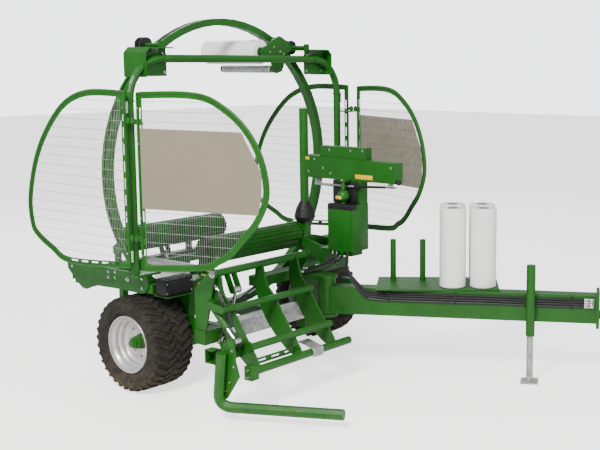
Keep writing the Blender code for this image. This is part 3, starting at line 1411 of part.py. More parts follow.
def side_roller(parent):
    """The upright tube that the bale leans on, and the black cone at its foot."""
    bore = SIDE_PIN + WELD
    tube_profile = [
        (bore, SIDE_ROLLER_LOW),
        (SIDE_ROLLER_RADIUS, SIDE_ROLLER_LOW),
        (SIDE_ROLLER_RADIUS, SIDE_ROLLER_HIGH),
        (bore, SIDE_ROLLER_HIGH),
    ]
    cone_profile = [
        (bore, CONE_LOW),
        (CONE_RADIUS * 0.8, CONE_LOW),
        (CONE_RADIUS, CONE_LOW + SIDE_POST),
        (CONE_RADIUS * 0.8, (CONE_LOW + SIDE_ROLLER_LOW) / 2 + SIDE_POST / 2),
        (SIDE_ROLLER_RADIUS, SIDE_ROLLER_LOW - GAP),
        (bore, SIDE_ROLLER_LOW - GAP),
    ]
    place = (SIDE_ROLLER_X, SIDE_ROLLER_Y, 0)
    finish(turned(tube_profile, 18, place, Z_AXIS), "side_roller", "green_paint", parent)
    finish(turned(cone_profile, 20, place, Z_AXIS), "side_roller_cone", "black_plastic", parent)


def control_box(parent):
    low, high = (CONTROL_REAR, -CONTROL_OUTER, CONTROL_LOW), (CONTROL_FRONT, -CONTROL_INNER, CONTROL_HIGH)
    return finish(box(low, high), "control_box", "black_plastic", parent)


def front_beam(parent):
    """The galvanised cross beam between the right leg's reach and the drawbar's post."""
    front_low = FRONT_FRAME_X - FRONT_FRAME_DEPTH / 2
    front_high = FRONT_FRAME_X + FRONT_FRAME_DEPTH / 2
    item = box(
        (front_low, -(LEG_OUTER - LEG_WIDTH) - WELD + GAP, FRONT_BAR_LOW),
        (front_high, DRAWBAR_Y - FORK_RADIUS - GAP, FRONT_BAR_HIGH),
    )
    return finish(item, "front_beam", "galvanised", parent)


# Drawbar, film rack and jack
HEAD_RADIUS = 0.085
FLANGE_SHEET = 0.025
FLANGE_HALF = 0.11
FLANGE_RISE = 0.04
DRAWBAR_END = 2.55
TONGUE_HALF = 0.05
TONGUE_LOW = 0.60
TONGUE_HIGH = 0.66
EYE_REACH = 2.92
EYE_RADIUS = 0.065
EYE_BORE = 0.025
JACK_REACH = 1.95
JACK_SIDE = 0.135
JACK_TUBE = 0.042
JACK_LEG = 0.031
JACK_BORE = JACK_LEG + GAP
JACK_LOW = 0.44
JACK_HIGH = 1.10
JACK_LEG_TOP = 0.70
JACK_CAP = 0.015
JACK_FOOT_HALF = 0.08
JACK_FOOT_SHEET = 0.015
RACK_START = (1.36, 0.76)
RACK_HEADING = radians(35.2)
RACK_PITCH = 0.286
RACK_ROW = 0.28
RACK_EDGE = 0.15
RACK_SHEET = 0.012
PEG_RADIUS = 0.0285
PEG_HEIGHT = 0.40
STOCK_LENGTH = 0.75
STOCK_RADIUS = 0.125
PEGS = (
    # place along the rack, row, carries a roll
    (0, 0, False),
    (1, 0, False),
    (2, 0, True),
    (3, 0, True),
    (2, 1, True),
    (3, 1, True),
)
DRAWBAR_FRAME = frame((DRAWBAR_X, DRAWBAR_Y, 0), (cos(DRAWBAR_SWING), sin(DRAWBAR_SWING), 0), Z_AXIS)
RACK_FRAME = frame((*RACK_START, 0), (cos(RACK_HEADING), sin(RACK_HEADING), 0), Z_AXIS)
RACK_TOP = DRAWBAR_TOP + GAP + RACK_SHEET


def drawbar_point(along, right, height):
    """A point given along the drawbar from its pin, to its right and above the ground."""
    return DRAWBAR_FRAME @ Vector((along, height, right))


def drawbar(parent):
    """The swinging beam from the head on its pin to the tow eye."""
    half = DRAWBAR_WIDTH / 2
    place = DRAWBAR_FRAME
    items = [
        rod((DRAWBAR_X, DRAWBAR_Y, HEAD_BOTTOM), (DRAWBAR_X, DRAWBAR_Y, HEAD_TOP), HEAD_RADIUS, 20),
        box((HEAD_RADIUS / 2, DRAWBAR_BOTTOM, -half), (DRAWBAR_END, DRAWBAR_TOP, half), place),
        box(
            (DRAWBAR_END - WELD, DRAWBAR_BOTTOM - FLANGE_RISE, -FLANGE_HALF),
            (DRAWBAR_END + FLANGE_SHEET, DRAWBAR_TOP + FLANGE_RISE, FLANGE_HALF),
            place,
        ),
        box((DRAWBAR_END + WELD, TONGUE_LOW, -TONGUE_HALF), (EYE_REACH, TONGUE_HIGH, TONGUE_HALF), place),
        rod(drawbar_point(EYE_REACH, 0, TONGUE_LOW), drawbar_point(EYE_REACH, 0, TONGUE_HIGH), EYE_RADIUS, 20),
        rod(drawbar_point(JACK_REACH, JACK_SIDE, JACK_LOW), drawbar_point(JACK_REACH, JACK_SIDE, JACK_HIGH), JACK_TUBE, 16),
        box(
            (JACK_REACH - JACK_TUBE, DRAWBAR_BOTTOM + FLANGE_RISE, half - WELD),
            (JACK_REACH + JACK_TUBE, DRAWBAR_TOP - FLANGE_RISE, JACK_SIDE),
            place,
        ),
    ]
    offset = CYLINDER_EYE_HALF + LIFT_GAP + LIFT_PLATE / 2
    for near in (-1, 1):
        height = SWING_HEIGHT + near * offset
        items.append(
            box(
                (SWING_REACH - CYLINDER_LUG, height - LIFT_PLATE / 2, -SWING_SIDE - CYLINDER_LUG),
                (SWING_REACH + CYLINDER_LUG, height + LIFT_PLATE / 2, -half + WELD),
                place,
            )
        )
    cutters = [
        rod((DRAWBAR_X, DRAWBAR_Y, HEAD_BOTTOM - OVERRUN), (DRAWBAR_X, DRAWBAR_Y, HEAD_TOP + OVERRUN), HEAD_PIN + WELD, 16),
        rod(drawbar_point(EYE_REACH, 0, TONGUE_LOW - OVERRUN), drawbar_point(EYE_REACH, 0, TONGUE_HIGH + OVERRUN), EYE_BORE, 16),
        rod(
            drawbar_point(JACK_REACH, JACK_SIDE, JACK_LOW - OVERRUN),
            drawbar_point(JACK_REACH, JACK_SIDE, JACK_HIGH - JACK_CAP),
            JACK_BORE,
            16,
        ),
    ]
    return finish(carved(fused(items), cutters), "drawbar", "green_paint", parent)


def rack_point(number, row, height):
    return RACK_FRAME @ Vector((number * RACK_PITCH, height, row * RACK_ROW))


def film_rack(parent):
    """A tray on the drawbar with upright pegs; the spare rolls stand over the pegs."""
    last = max(number for number, row, full in PEGS)
    tray = box(
        (-RACK_EDGE, RACK_TOP - RACK_SHEET, -RACK_EDGE),
        (last * RACK_PITCH + RACK_EDGE, RACK_TOP, RACK_ROW + RACK_EDGE),
        RACK_FRAME,
    )
    pegs = [
        rod(rack_point(number, row, RACK_TOP - WELD), rack_point(number, row, RACK_TOP + PEG_HEIGHT), PEG_RADIUS, 12)
        for number, row, full in PEGS
    ]
    finish(fused([tray, joined(pegs)]), "film_rack", "green_paint", parent)
    stock = [(number, row) for number, row, full in PEGS if full]
    for count, (number, row) in enumerate(stock):
        middle = rack_point(number, row, RACK_TOP + GAP + STOCK_LENGTH / 2)
        film_roll(f"spare_film_roll_{count + 1}", middle, Z_AXIS, STOCK_LENGTH, STOCK_RADIUS, parent)


def jack_leg(parent):
    """The parking jack's inner leg and foot plate, standing on the ground."""
    items = [
        box(
            (JACK_REACH - JACK_FOOT_HALF, 0.0, JACK_SIDE - JACK_FOOT_HALF),
            (JACK_REACH + JACK_FOOT_HALF, JACK_FOOT_SHEET, JACK_SIDE + JACK_FOOT_HALF),
            DRAWBAR_FRAME,
        ),
        rod(
            drawbar_point(JACK_REACH, JACK_SIDE, JACK_FOOT_SHEET - WELD),
            drawbar_point(JACK_REACH, JACK_SIDE, JACK_LEG_TOP),
            JACK_LEG,
            16,
        ),
    ]
    return finish(fused(items), "jack_leg", "galvanised", parent)


PARTS = None


def build():
    global PARTS
    clear_scene()
    PARTS = new_collection("bale_wrapper")
    root = pivot("machine", (0, 0, 0))
    chassis_frame(root)
    portal(root)
    valve_housing(root)
    accumulator(root)
    roller_drive(root)
    control_box(root)
    front_beam(root)
    cradle_stand(root)
    ring = pivot("ring_pivot", (RING_X, 0, RING_HEIGHT), root)
    wrapping_ring(ring)
    for number in (0, 1):
        dispenser(number, ring)
    front_roller = pivot("front_roller_pivot", (FRONT_ROLLER_X, 0, ROLLER_HEIGHT), root)
    ribbed_roller("front_roller", FRONT_ROLLER_X, front_roller)
    upright = pivot("side_roller_pivot", (SIDE_ROLLER_X, SIDE_ROLLER_Y, SIDE_ROLLER_LOW), root)
    side_roller(upright)
    table = pivot("table_pivot", (TABLE_PIVOT_X, 0, TABLE_PIVOT_HEIGHT), root)
    tipping_table(table)
    rear_roller = pivot("rear_roller_pivot", (REAR_ROLLER_X, 0, ROLLER_HEIGHT), table)
    ribbed_roller("rear_roller", REAR_ROLLER_X, rear_roller)
    cradle_pivot = pivot("cradle_pivot", (CRADLE_PIVOT_X, 0, CRADLE_PIVOT_HEIGHT), root)
    cradle(cradle_pivot)
    arm_pivot = pivot("arm_pivot", (ARM_PIVOT_X, ARM_PLANE, ARM_PIVOT_HEIGHT), cradle_pivot)
    loading_arm(arm_pivot)
    swing = pivot("drawbar_pivot", (DRAWBAR_X, DRAWBAR_Y, HEAD_BOTTOM), root)
    drawbar(swing)
    film_rack(swing)
    jack = pivot("jack_pivot", drawbar_point(JACK_REACH, JACK_SIDE, 0), swing)
    jack_leg(jack)
    for name, barrel_share, inside in CYLINDERS:
        base, tip, across = cylinder_ends(name)
        holder = cradle_pivot if name == "arm_cylinder" else root
        barrel = pivot(f"{name}_base", base, holder)
        slide = pivot(f"{name}_tip", tip, barrel)
        cylinder(name, barrel_share, inside, barrel, slide)
    for side in (RIGHT, LEFT):
        name = SIDE_NAMES[side]
        wheel = pivot(f"wheel_{name}_pivot", (0, side * WHEEL_OFFSET, TYRE_RADIUS), root)
        tyre(side, wheel)
        rim(side, wheel)
        for row, angle, hold in GUIDES:
            middle, hold = guide_place(row, side)
            guide = pivot(f"guide_{row}_{name}_pivot", middle, root)
            guide_wheels(row, side, guide)
        front_hinge = (FRONT_HINGE_X, side * GUARD_OFFSET)
        rear_hinge = (REAR_HINGE_X, side * GUARD_OFFSET)
        inward = -side * FRONT_GUARD_ANGLES[side]
        front = pivot(f"front_guard_{name}_pivot", (*front_hinge, GUARD_LOW), root)
        guard(f"front_guard_{name}", FRONT_GUARD_OUTLINE, front_hinge, inward, front)
        outer = 1 if side == RIGHT else -1
        name_plate(f"name_plate_{name}", front_hinge, inward, outer, front)
        rear = pivot(f"rear_guard_{name}_pivot", (*rear_hinge, GUARD_LOW), root)
        guard(f"rear_guard_{name}", REAR_GUARD_OUTLINE, rear_hinge, pi, rear)
    settle(root)


def settle(root):
    """Moves the machine so that the middle of its box, on the ground, is the origin."""
    bpy.context.view_layer.update()
    corners = [item.matrix_world @ Vector(corner) for item in PARTS.objects if item.type == "MESH" for corner in item.bound_box]
    low = [min(corner[n] for corner in corners) for n in range(3)]
    high = [max(corner[n] for corner in corners) for n in range(3)]
    root.location = (-(low[0] + high[0]) / 2, -(low[1] + high[1]) / 2, -low[2])
    bpy.context.view_layer.update()


build()
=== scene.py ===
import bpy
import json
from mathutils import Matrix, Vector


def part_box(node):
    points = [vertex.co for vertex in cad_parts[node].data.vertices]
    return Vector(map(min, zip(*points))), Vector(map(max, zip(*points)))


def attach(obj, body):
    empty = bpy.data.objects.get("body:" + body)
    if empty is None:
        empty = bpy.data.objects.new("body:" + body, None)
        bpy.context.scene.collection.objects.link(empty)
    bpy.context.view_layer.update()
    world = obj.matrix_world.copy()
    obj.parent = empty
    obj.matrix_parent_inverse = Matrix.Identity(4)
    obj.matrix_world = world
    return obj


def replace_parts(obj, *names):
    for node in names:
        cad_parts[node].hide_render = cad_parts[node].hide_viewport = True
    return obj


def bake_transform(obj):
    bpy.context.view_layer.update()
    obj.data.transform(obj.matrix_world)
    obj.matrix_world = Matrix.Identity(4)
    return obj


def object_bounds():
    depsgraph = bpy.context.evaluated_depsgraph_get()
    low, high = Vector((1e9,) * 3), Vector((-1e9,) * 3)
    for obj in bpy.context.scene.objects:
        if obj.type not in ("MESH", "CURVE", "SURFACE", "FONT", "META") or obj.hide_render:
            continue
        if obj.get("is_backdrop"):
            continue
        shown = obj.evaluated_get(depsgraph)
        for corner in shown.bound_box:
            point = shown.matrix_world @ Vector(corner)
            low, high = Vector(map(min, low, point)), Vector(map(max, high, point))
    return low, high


bl_info = {
    "name": "Bale Wrapper Dressing",
    "version": (1, 0, 0),
    "blender": (4, 5, 0),
    "location": "View3D > Sidebar > Wrapper",
    "description": "Dresses the trailed bale wrapper's frame with its finer pieces and finishes",
    "category": "Object",
}

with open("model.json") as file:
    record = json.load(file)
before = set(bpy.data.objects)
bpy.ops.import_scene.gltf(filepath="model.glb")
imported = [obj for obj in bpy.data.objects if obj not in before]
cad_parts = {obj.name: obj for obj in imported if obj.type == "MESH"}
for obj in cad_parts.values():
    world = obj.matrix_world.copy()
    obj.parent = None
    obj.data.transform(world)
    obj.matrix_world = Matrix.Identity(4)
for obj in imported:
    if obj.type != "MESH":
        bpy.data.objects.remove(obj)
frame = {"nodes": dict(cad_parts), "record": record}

import json
from math import cos, pi, radians, sin

import bpy
from mathutils import Matrix, Vector

FRAME_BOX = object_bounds()

# Places are measured from the ground below the middle of the axle, as in the machine's drawing
RING_CENTRE = Vector((-0.145, 0.0, 1.926))
ring_low, ring_high = (Vector(corner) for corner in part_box("wrapping_ring"))
SHIFT = (ring_low + ring_high) / 2 - RING_CENTRE
RIGHT, LEFT = -1, 1
SIDES = {RIGHT: "right", LEFT: "left"}
X_AXIS = Vector((1, 0, 0))
Y_AXIS = Vector((0, 1, 0))
Z_AXIS = Vector((0, 0, 1))


def at(x, y, z):
    """A place of the drawing in the scene."""
    return Vector((x, y, z)) + SHIFT


def node_box(name):
    """The two corners of a carried-over node's box, measured as in the drawing."""
    return [Vector(corner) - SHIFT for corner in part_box(name)]


# Settings


class WrapperSizes(bpy.types.PropertyGroup):
    """Sizes that a user may change."""

    mesh_pitch: bpy.props.FloatProperty(
        name="Guard wire pitch",
        description="Distance between the guards' level wires",
        default=0.085,
        unit="LENGTH",
    )
    mesh_columns: bpy.props.FloatProperty(
        name="Guard column pitch",
        description="Distance between the guards' upright wires",
        default=0.022,
        unit="LENGTH",
    )
    wire_radius: bpy.props.FloatProperty(
        name="Guard wire radius",
        description="Radius of the guards' wires",
        default=0.0019,
        unit="LENGTH",
    )


class WrapperColours(bpy.types.PropertyGroup):
    """Colours that a user may change."""

    paint: bpy.props.FloatVectorProperty(
        name="Paint",
        description="The machine's main paint",
        default=(0.0035, 0.080, 0.0012),
        subtype="COLOR",
        size=3,
    )
    rim: bpy.props.FloatVectorProperty(
        name="Wheel rim",
        description="The rims' silver paint",
        default=(0.52, 0.52, 0.515),
        subtype="COLOR",
        size=3,
    )
    plate: bpy.props.FloatVectorProperty(
        name="Guard plate",
        description="The blank plates on the front guards",
        default=(0.200, 0.180, 0.128),
        subtype="COLOR",
        size=3,
    )
    film: bpy.props.FloatVectorProperty(
        name="Film",
        description="The wrapping film on its rolls",
        default=(0.82, 0.83, 0.82),
        subtype="COLOR",
        size=3,
    )


# Finishes


def new_finish(name):
    """A new material, its node tree and its shader."""
    made = bpy.data.materials.new(name)
    made.use_nodes = True
    return made, made.node_tree, made.node_tree.nodes["Principled BSDF"]


def set_inputs(shader, **values):
    """Links or sets the shader's inputs; an input's name has a space where the word has an underscore."""
    for name, value in values.items():
        socket = shader.inputs[name.replace("_", " ")]
        if isinstance(value, bpy.types.NodeSocket):
            shader.id_data.links.new(value, socket)
        else:
            socket.default_value = value


def add_node(tree, kind, **inputs):
    node = tree.nodes.new("ShaderNode" + kind)
    set_inputs(node, **inputs)
    return node


def object_place(tree):
    return add_node(tree, "TexCoord").outputs["Object"]


def noise(tree, scale, detail=4.0, roughness=0.55, stretch=(1, 1, 1)):
    mapping = add_node(tree, "Mapping", Vector=object_place(tree), Scale=stretch)
    place = mapping.outputs["Vector"]
    texture = add_node(tree, "TexNoise", Vector=place, Scale=scale, Detail=detail, Roughness=roughness)
    return texture.outputs["Fac"]


def ramp(tree, source, low, high, low_value=0.0, high_value=1.0):
    """Maps a range of a value to another range, clamped."""
    node = add_node(tree, "MapRange", Value=source, From_Min=low, From_Max=high)
    set_inputs(node, To_Min=low_value, To_Max=high_value)
    return node.outputs["Result"]


def blend(tree, factor, first, second):
    """Mixes two colours; each is a colour or a socket."""
    node = add_node(tree, "Mix")
    node.data_type = "RGBA"
    tree.links.new(factor, node.inputs["Factor"])
    for value, socket in ((first, node.inputs[6]), (second, node.inputs[7])):
        if isinstance(value, bpy.types.NodeSocket):
            tree.links.new(value, socket)
        else:
            socket.default_value = (*value, 1)
    return node.outputs[2]


def bump(tree, shader, height, strength, distance):
    node = add_node(tree, "Bump", Strength=strength, Distance=distance, Height=height)
    set_inputs(shader, Normal=node.outputs["Normal"])


def product(tree, first, second):
    node = add_node(tree, "Math")
    node.operation = "MULTIPLY"
    tree.links.new(first, node.inputs[0])
    tree.links.new(second, node.inputs[1])
    return node.outputs["Value"]


def height_mask(tree, low, high):
    """1 at the low height, falling to 0 at the high one."""
    split = add_node(tree, "SeparateXYZ", Vector=object_place(tree))
    return ramp(tree, split.outputs["Z"], low, high, 1.0, 0.0)


def upward_mask(tree):
    """1 where the surface faces up."""
    split = add_node(tree, "SeparateXYZ", Vector=add_node(tree, "NewGeometry").outputs["Normal"])
    return ramp(tree, split.outputs["Z"], 0.3, 0.95)


DUST = (0.20, 0.17, 0.11)
DRIED_MUD = (0.13, 0.10, 0.06)


def painted(name, colour, gloss=0.33, dust=0.10, metal=0.0, coat=0.06, fade=0.14):
    """Gloss paint with faded patches, dust on what faces up and splashes low down."""
    made, tree, shader = new_finish(name)
    colour = tuple(colour)
    faded = tuple(min(1.0, c * (1 + fade) + 0.0005) for c in colour)
    deep = tuple(c * (1 - fade) for c in colour)
    base = blend(tree, ramp(tree, noise(tree, 2.3), 0.35, 0.68), deep, faded)
    speckle = ramp(tree, noise(tree, 55.0, 6.0, 0.7), 0.56, 0.72)
    base = blend(tree, ramp(tree, speckle, 0.0, 1.0, 0.0, dust * 0.3), base, DUST)
    settled = product(tree, upward_mask(tree), ramp(tree, noise(tree, 9.0, 5.0, 0.6), 0.38, 0.7))
    base = blend(tree, ramp(tree, settled, 0.0, 1.0, 0.0, dust * 0.6), base, DUST)
    low = product(tree, height_mask(tree, 0.1, 1.0), ramp(tree, noise(tree, 16.0, 6.0, 0.65), 0.42, 0.62))
    base = blend(tree, ramp(tree, low, 0.0, 1.0, 0.0, dust * 1.4), base, DRIED_MUD)
    shine = ramp(tree, noise(tree, 22.0, 5.0, 0.6), 0.3, 0.75, gloss, gloss + 0.28)
    set_inputs(shader, Base_Color=base, Roughness=shine, Metallic=metal, Specular_IOR_Level=0.3)
    set_inputs(shader, Coat_Weight=coat, Coat_Roughness=0.18)
    bump(tree, shader, noise(tree, 240.0, 3.0), 0.08, 0.0006)
    return made


def galvanised(name, tone=0.42, spangle=34.0):
    """Zinc-dipped steel: soft grey crystals with dull streaks."""
    made, tree, shader = new_finish(name)
    cells = add_node(tree, "TexVoronoi", Vector=object_place(tree), Scale=spangle)
    split = add_node(tree, "SeparateColor", Color=cells.outputs["Color"])
    light = (tone * 1.18, tone * 1.2, tone * 1.2)
    dark = (tone * 0.72, tone * 0.73, tone * 0.72)
    base = blend(tree, split.outputs["Red"], dark, light)
    stain = ramp(tree, noise(tree, 5.0, 6.0, 0.65), 0.45, 0.75, 0.0, 0.6)
    base = blend(tree, stain, base, (0.24, 0.22, 0.18))
    shine = ramp(tree, split.outputs["Green"], 0.0, 1.0, 0.38, 0.6)
    set_inputs(shader, Base_Color=base, Roughness=shine, Metallic=0.65)
    bump(tree, shader, noise(tree, 120.0, 3.0), 0.1, 0.0006)
    return made


def rubber(name):
    """Dusty tyre rubber, browner where the ground has rubbed off on it."""
    made, tree, shader = new_finish(name)
    worn = ramp(tree, noise(tree, 7.0, 6.0, 0.6), 0.35, 0.7)
    base = blend(tree, worn, (0.012, 0.011, 0.010), (0.026, 0.023, 0.019))
    dusty = ramp(tree, noise(tree, 26.0, 8.0, 0.7), 0.46, 0.68, 0.0, 0.32)
    base = blend(tree, dusty, base, (0.085, 0.072, 0.05))
    muddy = product(tree, height_mask(tree, 0.02, 0.3), ramp(tree, noise(tree, 12.0, 6.0, 0.7), 0.4, 0.6))
    base = blend(tree, ramp(tree, muddy, 0.0, 1.0, 0.0, 0.6), base, DRIED_MUD)
    shine = ramp(tree, noise(tree, 40.0), 0.3, 0.7, 0.72, 0.95)
    set_inputs(shader, Base_Color=base, Roughness=shine, Specular_IOR_Level=0.2)
    bump(tree, shader, noise(tree, 160.0, 6.0, 0.7), 0.35, 0.0015)
    return made


def moulded(name, colour=(0.007, 0.007, 0.0075), rough=0.48):
    """Moulded plastic or rubber with a fine grain."""
    made, tree, shader = new_finish(name)
    light = tuple(c * 1.6 + 0.003 for c in colour)
    base = blend(tree, ramp(tree, noise(tree, 14.0, 6.0, 0.65), 0.42, 0.7, 0.0, 0.6), colour, light)
    shine = ramp(tree, noise(tree, 30.0), 0.3, 0.7, rough - 0.08, rough + 0.14)
    set_inputs(shader, Base_Color=base, Roughness=shine, Specular_IOR_Level=0.3)
    bump(tree, shader, noise(tree, 700.0, 2.0), 0.15, 0.0004)
    return made


def wound_film(name, colour):
    """White stretch film wound on its core: fine turns, soft gloss."""
    made, tree, shader = new_finish(name)
    colour = tuple(colour)
    shade = tuple(c * 0.93 for c in colour)
    base = blend(tree, ramp(tree, noise(tree, 5.0, 5.0, 0.6), 0.35, 0.7), shade, colour)
    grime = ramp(tree, noise(tree, 20.0, 6.0, 0.7), 0.62, 0.8, 0.0, 0.16)
    base = blend(tree, grime, base, (0.45, 0.43, 0.36))
    shine = ramp(tree, noise(tree, 12.0), 0.3, 0.7, 0.22, 0.42)
    set_inputs(shader, Base_Color=base, Roughness=shine, Coat_Weight=0.3, Coat_Roughness=0.15)
    bump(tree, shader, noise(tree, 30.0, 3.0, 0.5, (0.6, 7.0, 7.0)), 0.2, 0.002)
    return made


def bright_metal(name, colour=(0.6, 0.6, 0.6)):
    """Polished or plated metal with light smears."""
    made, tree, shader = new_finish(name)
    smear = tuple(c * 0.7 for c in colour)
    base = blend(tree, ramp(tree, noise(tree, 18.0, 5.0), 0.4, 0.7), colour, smear)
    shine = ramp(tree, noise(tree, 60.0), 0.3, 0.7, 0.16, 0.36)
    set_inputs(shader, Base_Color=base, Roughness=shine, Metallic=1.0)
    return made


MATERIALS = {}


def finish_set():
    """Makes each finish once, by its slot's name or its own."""
    if MATERIALS:
        return MATERIALS
    tone = bpy.context.scene.wrapper_colours
    MATERIALS.update(
        green_paint=painted("machine green", tone.paint),
        galvanised=galvanised("galvanised steel"),
        silver_paint=painted("rim silver", tone.rim, 0.30, 0.06, 0.6, 0.1, 0.04),
        tyre_rubber=rubber("tyre rubber"),
        black_plastic=moulded("black plastic"),
        white_film=wound_film("wound film", tone.film),
        grey_plate=painted("warm grey plate", tone.plate, 0.42, 0.04, 0.1, 0.1, 0.03),
        polished_steel=bright_metal("polished rod"),
        zinc=bright_metal("zinc plate", (0.5, 0.5, 0.5)),
        brass=bright_metal("brass", (0.62, 0.45, 0.17)),
        hose=moulded("hose rubber", (0.014, 0.014, 0.015), 0.42),
        reflector=painted("white reflector", (0.85, 0.85, 0.83), 0.2, 0.05),
        card=moulded("roll card", (0.20, 0.14, 0.085), 0.8),
        yellow_tag=painted("yellow marker", (0.66, 0.40, 0.002), 0.35, 0.05),
    )
    return MATERIALS


def dress_nodes():
    """Gives every carried-over node its finish."""
    finishes = finish_set()
    slots = {row["node"]: row["material_slot"] for row in frame["record"]["subparts"]}
    for name, node in frame["nodes"].items():
        finish = finishes[slots[name]]
        if not node.material_slots:
            node.data.materials.append(finish)
        for holder in node.material_slots:
            holder.material = finish


HOME = Matrix.Translation(SHIFT)
FULL_TURN = 2 * pi


def deselect():
    if bpy.context.mode != "OBJECT":
        bpy.ops.object.mode_set(mode="OBJECT")
    bpy.ops.object.select_all(action="DESELECT")


def activate(piece):
    deselect()
    piece.select_set(True)
    bpy.context.view_layer.objects.active = piece


def primitive(kind, **options):
    """Adds one mesh primitive with nothing else selected."""
    deselect()
    getattr(bpy.ops.mesh, f"primitive_{kind}_add")(**options)
    return bpy.context.object


def modify(piece, kind, **settings):
    activate(piece)
    change = piece.modifiers.new(kind.lower(), kind)
    for key, value in settings.items():
        setattr(change, key, value)
    bpy.ops.object.modifier_apply(modifier=change.name)


def rounded(piece, width, segments=2):
    modify(piece, "BEVEL", width=width, segments=segments, limit_method="ANGLE", angle_limit=radians(35))


def cleaned(piece):
    """Merges doubled points and turns all faces outwards."""
    activate(piece)
    bpy.ops.object.mode_set(mode="EDIT")
    bpy.ops.mesh.select_all(action="SELECT")
    bpy.ops.mesh.remove_doubles(threshold=0.00003)
    bpy.ops.mesh.normals_make_consistent(inside=False)
    bpy.ops.object.mode_set(mode="OBJECT")
    return piece


def placed(piece, place):
    """Puts a piece modelled about the drawing's origin at its place, in its mesh."""
    activate(piece)
    bpy.ops.object.transform_apply(location=True, rotation=True, scale=True)
    piece.data.transform(HOME @ place)
    return piece


def heading_at(turn):
    """The level direction at a turn from the drawing's X."""
    return Vector((cos(turn), sin(turn), 0))


def frame_at(origin, along, up):
    """A placing matrix whose local X is 'along' and local Y is 'up'."""
    x = Vector(along).normalized()
    z = x.cross(Vector(up)).normalized()
    return Matrix.Translation(Vector(origin)) @ Matrix((x, z.cross(x), z)).transposed().to_4x4()


def facing(origin, axis):
    """A placing matrix whose local Z is an axis."""
    return Matrix.Translation(Vector(origin)) @ Vector(axis).to_track_quat("Z", "Y").to_matrix().to_4x4()


def block(low, high, edge=0.003, place=Matrix()):
    low, high = Vector(low), Vector(high)
    piece = primitive("cube", size=1, location=(low + high) / 2, scale=high - low)
    bpy.ops.object.transform_apply(location=True, rotation=True, scale=True)
    rounded(piece, edge)
    return placed(piece, place)


def bar(start, end, radius, sides=20, edge=0.002):
    start, end = Vector(start), Vector(end)
    piece = primitive("cylinder", vertices=sides, radius=radius, depth=(end - start).length)
    rounded(piece, edge)
    return placed(piece, facing((start + end) / 2, end - start))


def turned(outline, steps, centre, axis):
    """Spins a closed outline of (radius, along) about an axis through a centre."""
    piece = primitive("circle", vertices=len(outline), radius=1)
    for vertex, (radius, along) in zip(piece.data.vertices, outline):
        vertex.co = (radius, 0, along)
    bpy.ops.object.mode_set(mode="EDIT")
    bpy.ops.mesh.select_all(action="SELECT")
    bpy.ops.mesh.spin(steps=steps, angle=FULL_TURN, center=(0, 0, 0), axis=(0, 0, 1))
    bpy.ops.object.mode_set(mode="OBJECT")
    return placed(cleaned(piece), facing(centre, axis))


def drawn(loops, kind, **settings):
    """A curve through lists of points, made a mesh."""
    deselect()
    bpy.ops.curve.primitive_bezier_curve_add()
    holder = bpy.context.object
    curve = holder.data
    curve.splines.clear()
    curve.dimensions = kind
    for key, value in settings.items():
        setattr(curve, key, value)
    for points, closed in loops:
        line = curve.splines.new("POLY")
        line.points.add(len(points) - 1)
        for point, spot in zip(line.points, points):
            point.co = (*spot, 1) if kind == "3D" else (*spot, 0, 1)
        line.use_cyclic_u = closed
    bpy.ops.object.convert(target="MESH")
    return cleaned(bpy.context.object)


def pipes(paths, radius, closed=False, detail=3, place=Matrix()):
    """Round tubes along lists of points."""
    loops = [([tuple(point) for point in path], closed) for path in paths]
    piece = drawn(loops, "3D", bevel_depth=radius, bevel_resolution=detail, use_fill_caps=not closed)
    return placed(piece, place)


def sheet(outline, thickness, place, holes=(), edge=0.0012):
    """A flat plate with holes and softened edges."""
    loops = [(outline, True), *((hole, True) for hole in holes)]
    piece = drawn(loops, "2D", fill_mode="BOTH", extrude=thickness / 2)
    if edge:
        rounded(piece, edge, 1)
    return placed(piece, place)


def joined(pieces):
    activate(pieces[0])
    for piece in pieces:
        piece.select_set(True)
    if len(pieces) > 1:
        bpy.ops.object.join()
    return pieces[0]


def repeated(piece, places):
    """Copies a finished piece to each place, each copy with its own mesh."""
    made = []
    for place in places:
        copy = piece.copy()
        copy.data = piece.data.copy()
        copy.data.transform(HOME @ place)
        bpy.context.collection.objects.link(copy)
        made.append(copy)
    bpy.data.objects.remove(piece, do_unlink=True)
    return cleaned(joined(made))


def loft(path, steps=8):
    """A smooth line through points, with a few steps from each point to the next."""
    ends = [Vector(path[0]), *(Vector(point) for point in path), Vector(path[-1])]
    line = [ends[1]]
    for before, start, end, after in zip(ends, ends[1:], ends[2:], ends[3:]):
        for n in range(1, steps + 1):
            t = n / steps
            a, b = (2 - t) * t * t - t, (3 * t - 5) * t * t + 2
            c, d = (4 - 3 * t) * t * t + t, (t - 1) * t * t
            line.append((before * a + start * b + end * c + after * d) / 2)
    return line


def bolt_head(size):
    """A hexagon head with its washer, standing on the drawing's origin."""
    washer = primitive(
        "cylinder", vertices=20, radius=size * 1.35, depth=size * 0.25, location=(0, 0, size * 0.125)
    )
    head = primitive("cylinder", vertices=6, radius=size, depth=size * 0.7, location=(0, 0, size * 0.6))
    rounded(head, size * 0.12)
    piece = joined([head, washer])
    bpy.ops.object.transform_apply(location=True, rotation=True, scale=True)
    return piece


def done(piece, name, finish, body="chassis"):
    """Joins a list of parts, names the piece, smooths it, gives it its finish and puts it on its body."""
    if isinstance(piece, list):
        piece = joined(piece)
    activate(piece)
    bpy.ops.object.shade_smooth_by_angle(angle=radians(32))
    piece.name = piece.data.name = name
    piece.data.materials.clear()
    piece.data.materials.append(finish_set()[finish])
    if body:
        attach(piece, body)
    return piece


